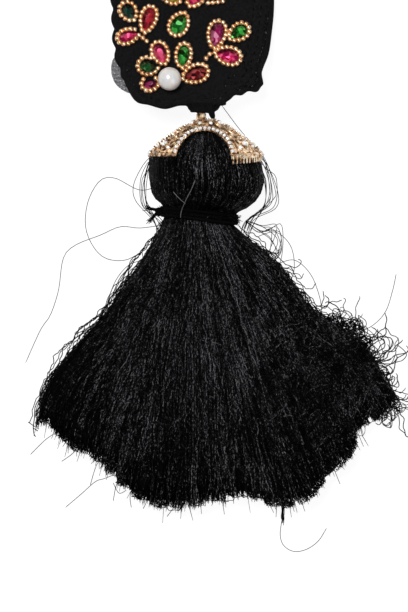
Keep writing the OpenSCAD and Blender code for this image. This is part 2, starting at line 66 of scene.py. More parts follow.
# Floor and light: a plain board that glows white, as a light table does, a broad soft lamp
# over the top left of the object, a weaker one opposite, and dim light from all round.
def lamp(name, place, size, watts, colour=(1, 1, 1)):
    bpy.ops.object.light_add(type="AREA", location=place)
    light = bpy.context.object
    light.name = name
    light.data.shape = "DISK"
    light.data.size = size
    light.data.energy = watts
    light.data.color = colour
    light.rotation_euler = (Vector((0, 0, 0.02)) - Vector(place)).to_track_quat("-Z", "Y").to_euler()


bpy.ops.mesh.primitive_plane_add(size=6, location=(0, 0, 0))
floor = bpy.context.object
floor.name = "floor"
board = bpy.data.materials.new("white_board")
board.use_nodes = True
board_shader = board.node_tree.nodes["Principled BSDF"]
board_shader.inputs["Base Color"].default_value = (0.14, 0.14, 0.14, 1)
board_shader.inputs["Roughness"].default_value = 0.9
board_shader.inputs["Specular IOR Level"].default_value = 0.1
board_shader.inputs["Emission Color"].default_value = (1, 1, 1, 1)
board_shader.inputs["Emission Strength"].default_value = 0.92
floor.data.materials.append(board)

lamp("key_lamp", (-0.35, 0.5, 1.4), 0.7, 23)
lamp("fill_lamp", (0.9, -0.6, 1.0), 1.1, 6)
world = bpy.data.worlds.new("studio")
bpy.context.scene.world = world
world.use_nodes = True
world.node_tree.nodes["Background"].inputs["Color"].default_value = (1, 1, 1, 1)
world.node_tree.nodes["Background"].inputs["Strength"].default_value = 0.2
bpy.context.scene.view_settings.view_transform = "Standard"


# Silk of the tassel: thousands of loose black twisted silk threads, hung over a cord in
# the cap, tied at the neck and cut to length. A dark filling has the CAD solid's form, and
# the threads lie on it and stand out from it in joined meshes.
MM = 0.001
loop_low, loop_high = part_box("hair_loop")
drawing_shift = np.array([-6 - (loop_low[0] + loop_high[0]) / 2 / MM, 130.5 - loop_high[1] / MM, 0])

neck_x, neck_z, neck_w, neck_h, neck_skew = -3.0, 14.6, 15.0, 12.0, -0.115
skirt_y, skirt_len = -3.4, 121.0
spread_left, spread_right = 34.0, 44.0
arches, cap_turn, cap_r, bundle_edge, crease_d, crease_w = 3, -3.0, 23.3, 36.0, 1.1, 6.0
lock_count, lock_d, wave_mean = 12, 1.6, 0.6
gap = 0.1                        # the forms of the head and the skirt come no nearer to the table

# Sections of the head: y, x of the middle, half width, z of the middle, height above it,
# depth below it, bulge through the arches, lean, skew
HEAD = [
    [36.4, 0, 6.5, 25.7, 6.5, 6.5, 0, 0.087, 0],
    [34.4, 0, 10.2, 25.6, 10.2, 10.2, 0.6, 0.087, 0],
    [31.2, 0, 15.4, 25.3, 15.4, 15.4, 1.2, 0.087, 0],
    [28.0, 0, 19.4, 25.0, 19.4, 19.4, 1.6, 0.087, 0],
    [24.7, 0, 21.7, 24.7, 21.7, 21.7, 1.6, 0.087, 0],
    [20.4, 0.1, 23.0, 24.1, 22.1, 23.0, 1.0, 0.07, 0],
    [14.6, 0.2, 24.2, 23.2, 22.4, 22.8, 0.7, 0.04, 0],
    [8.4, -0.3, 22.8, 20.8, 20.9, 20.4, 0.6, 0.01, -0.03],
    [4.2, -1.4, 19.4, 17.4, 17.4, 16.9, 0.3, 0, -0.07],
    [1.7, neck_x, neck_w, neck_z, neck_h, neck_h, 0, 0, neck_skew],
    [skirt_y, neck_x, neck_w, neck_z, neck_h, neck_h, 0, 0, neck_skew]]
# Heights of the skirt: share of the length, z of the middle, above it, below it, fullness
SKIRT = [
    [0, neck_z, neck_h, neck_h, 1], [0.05, 13.8, 13.2, 12.8, 1], [0.2, 10.9, 14.0, 10.6, 0.92],
    [0.4, 8.0, 13.4, 7.8, 0.85], [0.6, 6.0, 12.3, 5.8, 0.8], [0.8, 4.6, 11.0, 4.4, 0.75],
    [1, 3.4, 9.4, 3.2, 0.72]]
# Length of the threads across the skirt, as a share of skirt_len, evenly from left to right
SKIRT_LENGTHS = [[0.82], [0.90], [0.955], [1.0], [1.0], [1.035], [0.965], [0.875], [0.79]]
# Swell of the left and the right side: at half length, towards the end
SIDE_SWELL = [[-15.4, 28], [14, 18.2]]
# How far out the left and the right edge stand from the CAD solid's line, evenly from tie to ends
SIDE_SHIFT = [
    [0, 0], [-0.8, -0.5], [-0.8, -0.3], [-0.6, -0.3], [-0.9, -2.0], [-2.4, -3.3], [-1.6, -2.0],
    [-1.6, 0.3], [-1.2, 1.2], [-1.6, 0], [-3.2, -1.0]]
# How much longer or shorter the threads are than the CAD solid, evenly from left to right
TRIM = [
    [2], [0], [-2.5], [-4.2], [-0.6], [3.2], [2.2], [0.5], [-1.4], [-3.8], [0], [3.6], [0.5], [2.5],
    [-2.5], [4.5], [5.5]]


def in_frame(points):
    """Points of the drawing, in millimetres, as metres in the frame."""
    return (np.asarray(points, float) - drawing_shift) * MM


def row_at(table, u):
    """Smooth row of a table at a place between its rows, counted in rows."""
    rows = np.asarray(table, float)
    last = len(rows) - 1
    i = np.clip(np.floor(u).astype(int), 0, last - 1)
    f = (np.asarray(u, float) - i)[..., None]
    a, b, c, d = rows[np.maximum(i - 1, 0)], rows[i], rows[i + 1], rows[np.minimum(i + 2, last)]
    return 0.5 * (2 * b + (c - a) * f + (2 * a - 5 * b + 4 * c - d) * f**2
                  + (3 * b - a - 3 * c + d) * f**3)


def place_of(table, value):
    """Place between a table's rows where its first column reaches a value."""
    first = np.asarray([row[0] for row in table], float)
    i = np.clip(np.searchsorted(first, value, side="right") - 1, 0, len(first) - 2)
    return i + (value - first[i]) / (first[i + 1] - first[i])


def from_left(table, c):
    """Row of a table that runs evenly from the left, where c is -1, to the right, where it is 1."""
    last = len(table) - 1
    return row_at(table, np.clip((np.asarray(c) + 1) / 2 * last, 0, last))


def fan_of(c):
    """Angle to which the threads spread at a place across the skirt."""
    return np.radians(-spread_left + (spread_right + spread_left) * (c + 1) / 2)


def angle_of(c):
    """Angle of the section at a place across it, on its upper side."""
    return np.degrees(np.arccos(np.clip(-c, -1, 1)))


def trim(c):
    """How much longer the threads at a place across the skirt are than the CAD solid."""
    return from_left(TRIM, c)[..., 0]


def far_along(line):
    """How far along a line each of its points is."""
    return np.concatenate([[0], np.cumsum(np.linalg.norm(np.diff(line, axis=0), axis=1))])


def columns_at(place, places, values):
    """Each column of values interpolated at a place between their places."""
    return np.stack([np.interp(place, places, column) for column in values.T], axis=-1)


def head_place(u, w, lift=0):
    """Point of the head at a place along its table and an angle round it, lifted off it."""
    u, w, lift = np.broadcast_arrays(np.asarray(u, float), w, lift)
    r = row_at(HEAD, u)
    soft = np.minimum(r[..., 2] / cap_r, 1) * np.clip(len(HEAD) - 2 - u, 0, 1)
    az = w - 90 - cap_turn
    from_arch = np.minimum(az % (360 / arches), -az % (360 / arches)) - bundle_edge
    swell = (r[..., 6] * np.maximum(np.cos(np.radians(arches * az)), 0) ** 2
             - soft * crease_d * np.exp(-(from_arch / crease_w) ** 2) + lift)
    c, s = np.cos(np.radians(w)), np.sin(np.radians(w))
    x = -(r[..., 2] + swell) * c
    z = (np.where(w % 360 <= 180, r[..., 4], r[..., 5]) + swell) * s
    return np.stack([r[..., 1] + x, r[..., 0] - r[..., 7] * z + r[..., 8] * x,
                     np.maximum(r[..., 3] + z, gap)], axis=-1)


def skirt_place(w, s, longer=0, lift=0, inwards=0):
    """Point of the skirt at an angle of its section and a share of the threads' length."""
    w, s, longer, lift, inwards = np.broadcast_arrays(np.asarray(w, float), s, longer, lift, inwards)
    r = row_at(SKIRT, place_of(SKIRT, np.clip(s, 0, 1)))
    c = -np.cos(np.radians(w))
    fan = fan_of(c)
    length = skirt_len * from_left(SKIRT_LENGTHS, c)[..., 0] + longer
    side = np.where(c[..., None] < 0, SIDE_SWELL[0], SIDE_SWELL[1])
    shift = row_at(SIDE_SHIFT, np.clip(s, 0, 1) * (len(SIDE_SHIFT) - 1))
    swell = c * np.abs(c) * (1 - s) * (side[..., 0] * s * (1 - s) + side[..., 1] * s**3) \
        + c**3 * np.where(c < 0, shift[..., 0], shift[..., 1])
    go = length * s
    x = neck_x + neck_w * c + go * np.sin(fan) + swell * np.cos(fan)
    y = skirt_y + neck_skew * neck_w * c - go * np.cos(fan) + swell * np.sin(fan)
    up = np.sin(np.radians(w))
    relief = np.where(up > 0, lock_d * np.minimum(2 * s, 1)
                      * (np.abs(np.sin(np.radians(lock_count * w))) - wave_mean), 0)
    z = (np.where(up >= 0, r[..., 2], r[..., 3]) * np.sign(up) * np.abs(up) ** r[..., 4] + relief) \
        * (1 - inwards)
    return np.stack([x, y, np.maximum(r[..., 1] + z + lift, gap)], axis=-1)


def wrapped(name, around, along, place):
    """A flat grid wrapped onto a closed form: place(u, v) gives the drawing's point for the
    share of the way round and along. The seam and the ends close as doubles are merged."""
    bpy.ops.object.select_all(action="DESELECT")
    bpy.ops.mesh.primitive_grid_add(x_subdivisions=around, y_subdivisions=along, size=1)
    piece = bpy.context.object
    piece.name = name
    flat = np.empty(len(piece.data.vertices) * 3)
    piece.data.vertices.foreach_get("co", flat)
    flat = flat.reshape(-1, 3)
    points = in_frame(place(flat[:, 0] + 0.5, flat[:, 1] + 0.5))
    piece.data.vertices.foreach_set("co", points.ravel())
    bpy.ops.object.mode_set(mode="EDIT")
    bpy.ops.mesh.select_all(action="SELECT")
    bpy.ops.mesh.remove_doubles(threshold=2e-6)
    bpy.ops.mesh.normals_make_consistent(inside=False)
    bpy.ops.object.mode_set(mode="OBJECT")
    bpy.ops.object.shade_smooth()
    return piece


def threads(name, paths, width, shade):
    """Many three-sided threads as one mesh: paths[thread, step] in the drawing, a width in
    metres and a shade. Attributes twist, shade and own (a thread's number) go to the material."""
    paths = in_frame(paths)
    n, m = paths.shape[:2]
    run = np.gradient(paths, axis=1)
    step = np.linalg.norm(run, axis=2, keepdims=True) + 1e-12
    run /= step
    side = np.cross(run, [0.05, 0.08, 1.0])
    side /= np.linalg.norm(side, axis=2, keepdims=True) + 1e-12
    out = np.cross(side, run)
    half = np.repeat(np.broadcast_to(width, n)[:, None] / 2, m, axis=1)
    half[:, [0, -1]] *= end_share
    turns = np.radians([90, 210, 330])
    points = paths[:, :, None] + half[:, :, None, None] * (
        side[:, :, None] * np.cos(turns)[:, None] + out[:, :, None] * np.sin(turns)[:, None])
    first = (np.arange(n)[:, None, None] * m + np.arange(m - 1)[None, :, None]) * 3
    k, k2 = np.arange(3), np.array([1, 2, 0])
    quads = np.stack([first + k, first + 3 + k, first + 3 + k2, first + k2], axis=-1).reshape(-1)
    ends = np.arange(n)[:, None] * m * 3
    caps = np.concatenate([ends + [0, 1, 2], ends + (m - 1) * 3 + [2, 1, 0]]).reshape(-1)
    mesh = bpy.data.meshes.new(name)
    mesh.vertices.add(n * m * 3)
    mesh.vertices.foreach_set("co", points.reshape(-1))
    mesh.loops.add(len(quads) + len(caps))
    mesh.loops.foreach_set("vertex_index", np.concatenate([quads, caps]).astype(np.int32))
    mesh.polygons.add(len(quads) // 4 + len(caps) // 3)
    starts = np.concatenate([np.arange(0, len(quads), 4), len(quads) + np.arange(0, len(caps), 3)])
    mesh.polygons.foreach_set("loop_start", starts.astype(np.int32))
    mesh.update(calc_edges=True)
    mesh.shade_smooth()
    far = np.cumsum(step[..., 0], axis=1)
    twist = far[:, :, None] / twist_pitch + np.arange(3) / 3
    for attribute, values in (
            ("twist", twist.reshape(-1) * 2 * np.pi), ("shade", np.repeat(np.broadcast_to(shade, (n, m)), 3)),
            ("own", np.repeat(np.arange(n) * 0.618 % 1, m * 3))):
        mesh.attributes.new(attribute, "FLOAT", "POINT").data.foreach_set("value", values.astype(np.float32))
    piece = bpy.data.objects.new(name, mesh)
    bpy.context.scene.collection.objects.link(piece)
    return piece


def wander(rng, n, m, sizes):
    """Smooth random course of n threads over m steps: a sum of waves of the given sizes."""
    t = np.linspace(0, 1, m)
    total = np.zeros((n, m))
    for waves, size in sizes:
        phase = waves * rng.uniform(0.7, 1.3, (n, 1)) * t + rng.random((n, 1))
        total += size * np.sin(2 * np.pi * phase)
    return total


def material(name, colour, roughness, metallic=0.0, **more):
    """New material with plain values on its shader, returned with its tree and its shader."""
    made = bpy.data.materials.new(name)
    made.use_nodes = True
    shader = made.node_tree.nodes["Principled BSDF"]
    shader.inputs["Base Color"].default_value = (*colour, 1)
    shader.inputs["Roughness"].default_value = roughness
    shader.inputs["Metallic"].default_value = metallic
    for socket, value in more.items():
        shader.inputs[socket.replace("_", " ")].default_value = value
    return made, made.node_tree, shader


def node(tree, kind, inputs=(), **settings):
    """A new node with its settings, and each input a value or the socket that feeds it."""
    made = tree.nodes.new("ShaderNode" + kind)
    for key, value in settings.items():
        setattr(made, key, value)
    for key, value in dict(inputs).items():
        if isinstance(value, bpy.types.NodeSocket):
            tree.links.new(value, made.inputs[key])
        else:
            made.inputs[key].default_value = value
    return made


def ramp(tree, factor, stops):
    """Colour ramp through stops of (place, colour)."""
    made = node(tree, "ValToRGB", {"Fac": factor})
    elements = made.color_ramp.elements
    while len(elements) < len(stops):
        elements.new(0.5)
    for element, (place, colour) in zip(elements, stops):
        element.position = place
        element.color = (*colour, 1)
    return made.outputs["Color"]


def object_coords(tree):
    return node(tree, "TexCoord").outputs["Object"]


def noise(tree, vector, scale, detail):
    return node(tree, "TexNoise", {"Vector": vector, "Scale": scale, "Detail": detail}).outputs["Fac"]


def maths(tree, operation, *values):
    return node(tree, "Math", enumerate(values), operation=operation).outputs[0]


def vector_maths(tree, operation, *values):
    return node(tree, "VectorMath", enumerate(values), operation=operation).outputs[0]


def coloured(tree, shader, factor, stops):
    """The shader's base colour from a ramp."""
    tree.links.new(ramp(tree, factor, stops), shader.inputs["Base Color"])


def bumped(tree, shader, strength, millimetres, height):
    """The shader's normal from a bump whose full height is given in millimetres."""
    bump = node(tree, "Bump", {"Strength": strength, "Distance": millimetres * MM, "Height": height})
    tree.links.new(bump.outputs[0], shader.inputs["Normal"])


twist_pitch, end_share = 0.9 * MM, 0.6
# Painted light and shade: the silk's colour runs from near black up to grey painted highlights. Each thread's
# shade, glints along the threads and lighter and darker locks set it.
silk, tree, shader = material("twisted_silk", (0.004, 0.004, 0.005), 0.5, Specular_IOR_Level=0.03)
own, shade, turn = [
    node(tree, "Attribute", attribute_name=name).outputs["Fac"] for name in ("own", "shade", "twist")]
coords = object_coords(tree)
glints = noise(tree, vector_maths(tree, "MULTIPLY_ADD", own, (0.9, 1.3, 1.7), coords), 1150, 2)
locks = node(tree, "Mapping", {"Vector": coords, "Scale": (1, 0.4, 1)}).outputs["Vector"]
lock_shading = noise(tree, locks, 85, 2)
level = maths(tree, "MULTIPLY_ADD", lock_shading, 0.8, maths(tree, "MULTIPLY_ADD", glints, 3.2, shade))
coloured(tree, shader, maths(tree, "SUBTRACT", level, 2.15), [
    (0, (0.0001, 0.0001, 0.0002)), (0.3, (0.0012, 0.0012, 0.0015)), (0.5, (0.007, 0.007, 0.008)),
    (0.7, (0.026, 0.026, 0.029)), (0.87, (0.075, 0.075, 0.08)), (1, (0.19, 0.19, 0.2))])
bumped(tree, shader, 0.6, 0.06, maths(tree, "SINE", turn))

# The filling's near-black colour is darker than the threads'. It is the silk's own black and also painted
# shade deep inside the tassel.
filling, tree, shader = material("silk_filling", (0.001, 0.001, 0.0012), 0.7, Specular_IOR_Level=0.02)
uv = node(tree, "UVMap").outputs["UV"]
grain = noise(tree, node(tree, "Mapping", {"Vector": uv, "Scale": (420, 9, 1)}).outputs["Vector"], 1, 3)
coloured(tree, shader, grain, [(0.3, (0.0004, 0.0004, 0.0005)), (0.75, (0.0025, 0.0025, 0.003))])
bumped(tree, shader, 0.8, 0.3, grain)

under, ends_short = 0.35, 2.2    # how far the filling lies under the threads and ends before them
# Rows of the filling's grid: those that close its top, where the head ends and the skirt starts,
# where the skirt ends, and all
top_rows, neck_row, hem_row, filling_rows = 3, 40, 84, 88


def filling_place(u, v):
    """Point of the filling: v runs from the top of the head to the skirt's ends."""
    w = 360 * u
    rows = v * filling_rows
    head = head_place(np.clip((rows - top_rows) / 4, 0, len(HEAD) - 2), w, -under)
    centre = (head_place(0, 90) + head_place(0, 270)) / 2
    close = np.clip((top_rows - rows) / top_rows, 0, 1)[:, None]
    head = head * (1 - close) + centre * close
    s = np.clip((rows - neck_row) / (hem_row - neck_row), 0, 1)
    longer = (trim(-np.cos(np.radians(w))) - ends_short) * s**8
    skirt = skirt_place(w, s, longer, -under * np.sin(np.radians(w)))
    shut = np.clip((rows - hem_row) / (filling_rows - hem_row), 0, 1)
    skirt[:, 2] = skirt[:, 2] * (1 - shut) + SKIRT[-1][1] * shut
    part = np.clip(rows - neck_row + 1, 0, 1)[:, None]
    return head * (1 - part) + skirt * part


body = wrapped("silk_filling", 192, filling_rows, filling_place)
body.data.materials.append(filling)
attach(body, "root")
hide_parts("silk_tassel")

rng = np.random.default_rng(11)
thread_w = 0.36 * MM
on_table = 0.25                  # height of the middle of a thread that lies on the table


def shades(n):
    """Threads that lie in the dark and threads that catch the light, in about equal parts."""
    lot = rng.random((n, 1))
    return np.where(lot < 0.55, 0.4 * lot, 0.5 + 1.1 * (lot - 0.55))


def skirt_light(c, s):
    """How much less light reaches the skirt's sides and its lower end."""
    return -0.3 * np.clip(-c - 0.3, 0, 1) - 0.12 * np.clip(c - 0.5, 0, 1) \
        - 0.3 * np.clip(s - 0.5, 0, 1) - 0.25 * np.clip(0.35 - s, 0, 1)


def head_threads(name, n, low, high, lift, m=14):
    """Threads over the head, from under the cap to the tie, between two angles round it."""
    w = rng.uniform(low, high, (n, 1)) + wander(rng, n, m, [(0.6, 1.6), (2, 0.8), (5, 0.5)])
    u = np.linspace(0.6, 9.9, m)[None] + rng.uniform(-0.35, 0.35, (n, 1))
    off = rng.uniform(*lift, (n, 1)) * np.clip((9.3 - u) / 2, 0.1, 1) + wander(rng, n, m, [(3, 0.15)])
    sheen = np.exp(-((u - 4.6) / 1.6) ** 2) * np.exp(-((w - 93) / 30) ** 2)
    lit = shades(n) * 0.8 - 0.04 + 0.42 * sheen * (rng.random((n, 1)) < 0.5) - 0.1 * np.clip(u - 7, 0, 1)
    return threads(name, head_place(np.clip(u, 0, len(HEAD) - 1), w, off), thread_w, lit)


def leg_threads(name, n, m=9):
    """Threads that have worked out from under the cap and hang over its left leg's bars."""
    w = -6 + 63 * rng.random((n, 1)) ** 0.75 + wander(rng, n, m, [(1, 0.5)])
    u = 4.05 - 0.008 * w + rng.uniform(0, 0.2, (n, 1)) + 2.8 * np.linspace(0, 1, m)
    crease = crease_d * np.exp(-((w - 51) / crease_w) ** 2)
    off = crease + rng.uniform(2.6, 3.2, (n, 1)) * np.clip((6.4 - u) / 2.6, 0.05, 1)
    return threads(name, head_place(u, w, off), thread_w * 1.2, shades(n) * 0.8 - 0.1)


tufts = 84                       # in which the threads' cut ends draw together
tuft_ends = rng.normal(0, 0.9, tufts + 1)


def end_of_tuft(c):
    """Length that the threads at a place across the skirt have more or less than the mean."""
    return tuft_ends[np.clip(np.round((np.asarray(c) + 1) / 2 * tufts).astype(int), 0, tufts)] + trim(c)


def skirt_threads(name, n, top, lift, inwards=0.0, m=15, start=0.0, curl=0.25):
    """Threads of the skirt's top or underside, from the tie to their ends. Inwards is how far
    into the skirt's thickness some lie."""
    c = rng.uniform(-0.995, 0.995, (n, 1))
    tuft = (np.round((c + 1) / 2 * tufts + rng.normal(0, 0.4, (n, 1)))) / tufts * 2 - 1
    s = start + (1 - start) * np.linspace(0, 1, m)[None] ** 1.25
    c = c + (tuft - c) * 0.5 * s**5 + wander(rng, n, m, [(0.5, 0.022), (1.5, 0.010)]) * s
    c = np.clip(c, -1.01, 1.01)
    beyond = np.maximum(np.abs(c) - 1, 0)
    w = angle_of(c) if top else 360 - angle_of(c)
    longer = end_of_tuft(c[:, -1:]) + rng.normal(0, 0.8, (n, 1)) \
        + np.where(rng.random((n, 1)) < 0.07, rng.exponential(1.9, (n, 1)), 0)
    deep = rng.uniform(0, 1, (n, 1)) * inwards
    off = rng.uniform(*lift, (n, 1)) * np.minimum(s * 8 + 0.3, 1) + wander(rng, n, m, [(3, 0.2)]) * s
    p = skirt_place(w, s, np.clip(longer, -7, 11) * s**3, off if top else 0, deep)
    loose = np.clip((np.abs(c) - 0.88) * 8, 0, 1)
    p[..., 0] += np.sign(c) * beyond * 60 + wander(rng, n, m, [(4, curl), (8, curl / 2)]) * s \
        + loose * wander(rng, n, m, [(1, 1.1), (2.5, 0.5)]) * s
    return threads(name, p, thread_w * rng.uniform(0.8, 1.15, n), shades(n) + skirt_light(c, s))


def crinkled_threads(name, streams, each, m, long, lift, apart):
    """Streams of crinkled threads, side by side, that come to the top of the skirt. Long is
    the share of the skirt's length that they run."""
    n = streams * each
    t = np.linspace(0, 1, m)

    def shared(values):
        return np.repeat(values, each, axis=0)

    c = shared(rng.uniform(-0.98, 0.98, (streams, 1))) + rng.normal(0, apart, (n, 1))
    low = shared(rng.random((streams, 1)) ** 0.8 * (1 - 0.5 * long)) + rng.normal(0, 0.04, (n, 1)) - 0.03
    s = np.clip(low + long * rng.uniform(0.6, 1.2, (n, 1)) * t, 0.004, 1)
    c = c + shared(rng.normal(0, 0.03, (streams, 1))) * np.linspace(-1, 1, m)
    c = c + rng.normal(0, 0.014, (n, 1)) * np.linspace(-1, 1, m)
    c = np.clip(c + shared(wander(rng, streams, m, [(1, 0.010)])), -0.995, 0.995)
    off = rng.uniform(*lift, (n, 1)) * np.sin(np.pi * t) ** 0.5 - 0.3
    p = skirt_place(angle_of(c), s, end_of_tuft(c[:, -1:]) * s**3, off)
    for axis, size in ((0, 1.0), (1, 0.5), (2, 0.45)):
        p[..., axis] += size * (shared(wander(rng, streams, m, [(3, 0.4), (6, 0.3)]))
                                + wander(rng, n, m, [(3, 0.3), (6.5, 0.3)]))
    lit = shared(rng.uniform(-0.1, 0.3, (streams, 1))) + 0.85 * shades(n) + skirt_light(c, s)
    return threads(name, p, thread_w * rng.uniform(0.7, 1.05, n), lit)


def tangled_threads(name, n, c, s, reach, turns, m=22):
    """Threads that curl and cross on top of the skirt, from places between two c across it
    and two s along it."""
    t = np.linspace(0, 1, m)
    at_c, at_s = rng.uniform(*c, (n, 1)), rng.uniform(*s, (n, 1))
    curl = rng.uniform(*turns, (n, 1)) * rng.choice([-1, 1], (n, 1)) * 2 * np.pi
    way = rng.uniform(-np.pi, 0, (n, 1)) + curl * t**1.5 + wander(rng, n, m, [(1.5, 0.6), (4, 0.5)])
    step = rng.uniform(*reach, (n, 1)) / (m - 1)
    c = np.clip(at_c + np.cumsum(np.cos(way) * step, axis=1) / (neck_w + 60 * at_s), -0.99, 0.995)
    s = np.clip(at_s - np.cumsum(np.sin(way) * step, axis=1) / 110, 0, 1)
    off = rng.uniform(0.5, 1.9, (n, 1)) * np.sin(np.pi * t) ** 0.4 - 0.2 + wander(rng, n, m, [(2, 0.3)])
    p = skirt_place(angle_of(c), s, end_of_tuft(c[:, -1:]) * s**3, off)
    return threads(name, p, thread_w * rng.uniform(0.65, 0.95, n), shades(n) + skirt_light(c, s))


def frizz(name, n, along, reach, turns, heading, across=0.9, m=26):
    """Threads that have sprung out at the right of the skirt in curls and loops. Their heading
    is an angle from the way that the skirt's threads run there."""
    c = 1 - (1 - across) * rng.random(n) ** 1.5
    s = rng.uniform(*along, n)
    root = skirt_place(angle_of(c), s, trim(c) * s**3, -0.5)
    t = np.linspace(0, 1, m)
    curl = (turns[0] + (turns[1] - turns[0]) * rng.random(n) ** 1.7) * rng.choice([-1, 1], n) * 2 * np.pi
    way = (fan_of(c) - np.pi / 2 + rng.uniform(*heading, n))[:, None] + curl[:, None] * t**1.4 \
        + wander(rng, n, m, [(1.5, 0.5), (3.5, 0.35), (6, 0.14)])
    step = (rng.uniform(*reach, n) / (m - 1))[:, None]
    x = root[:, :1] + np.cumsum(np.cos(way) * step, axis=1)
    y = root[:, 1:2] + np.cumsum(np.sin(way) * step, axis=1)
    sunk = np.exp(-np.maximum(x - root[:, :1], 0) / 9)
    z = root[:, 2:] * sunk * (1 - 0.5 * t) + wander(rng, n, m, [(2, 0.9)]) + 0.8
    p = np.stack([np.clip(x, -86, 93), np.clip(y, -140, 20), np.maximum(z, on_table)], axis=-1)
    return threads(name, p, thread_w * rng.uniform(0.95, 1.5, n), shades(n) - 0.15)


def edge_threads(name, n, side, out, m=28):
    """Threads that run loosely along a side of the skirt, a little way out from it."""
    t = np.linspace(0, 1, m)
    s = rng.uniform(0, 0.8, (n, 1)) + rng.uniform(0.2, 0.55, (n, 1)) * t
    s = np.minimum(s, rng.uniform(0.98, 1.08, (n, 1)))
    p = skirt_place(90 + 88 * side, s, trim(side) * np.minimum(s, 1)**3)
    far = side * ((out[0] + (out[1] - out[0]) * rng.random((n, 1)) ** 2.2) * np.sin(np.pi * t) ** 0.8
                  + wander(rng, n, m, [(1.5, 0.5), (4, 0.45), (8, 0.3)]) + rng.normal(-0.4, 0.4, (n, 1)))
    p[..., 0] += far * np.cos(fan_of(side))
    p[..., 1] += far * np.sin(fan_of(side))
    p[..., 2] = np.maximum(p[..., 2] + rng.normal(0, 1.5, (n, 1)), on_table)
    return threads(name, p, thread_w * rng.uniform(1.0, 1.5, n), shades(n) - 0.2)


silk_pieces = [
    head_threads("head_threads_top", 1000, low=-4, high=184, lift=(-0.1, 0.5)),
    head_threads("head_threads_back", 200, low=180, high=360, lift=(-0.1, 0.2)),
    skirt_threads("skirt_threads_a", 1250, top=True, lift=(-0.3, 0.2)),
    crinkled_threads("skirt_threads_b", streams=330, each=6, m=16, long=0.3, lift=(0.1, 1.0), apart=0.012),
    crinkled_threads("skirt_threads_c", streams=112, each=6, m=28, long=0.6, lift=(0.3, 1.5), apart=0.02),
    skirt_threads("skirt_threads_under", 320, top=False, lift=(0, 0)),
    skirt_threads("skirt_threads_ends", 1250, top=True, lift=(-0.3, 0), inwards=1.0, m=7, start=0.82),
    tangled_threads("tangled_right", 440, c=(0.5, 1), s=(0.45, 0.95), reach=(10, 26), turns=(0.3, 1.2)),
    tangled_threads("tangled_all", 45, c=(-0.9, 0.6), s=(0.3, 0.97), reach=(8, 18), turns=(0.1, 0.6)),
    frizz("frizz_right", 225, along=(0.57, 0.82), reach=(10, 28), turns=(0.3, 1.7), heading=(-0.4, 0.7)),
    frizz("frizz_right_low", 105, along=(0.84, 1.03), reach=(6, 20), turns=(0.05, 1.1), heading=(-1.2, 0.2)),
    frizz("frizz_right_upper", 36, along=(0.08, 0.6), reach=(8, 22), turns=(0.05, 0.5), heading=(-0.05, 0.2),
          across=0.97),
    edge_threads("edge_threads_left", 85, side=-1, out=(-1.6, 5)),
    edge_threads("edge_threads_right", 35, side=1, out=(-1.8, 3)),
    leg_threads("threads_over_leg", 330)]
for piece in silk_pieces:
    piece.data.materials.append(silk)
    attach(piece, "root")


# Stray silk: threads that were never tied in or have slipped out. They bow out beside the
# head, lie in loops on the table and cross the head and the panel's corner.
def smooth_course(points, m):
    """Evenly spaced points of a smooth curve through a thread's table."""
    points = np.asarray(points, float)
    fine = row_at(points, np.linspace(0, len(points) - 1, 400))
    far = far_along(fine)
    return columns_at(np.linspace(0, far[-1], m), far, fine)


OVER_HEAD = [3, 4]               # the strays that cross the head and catch the light
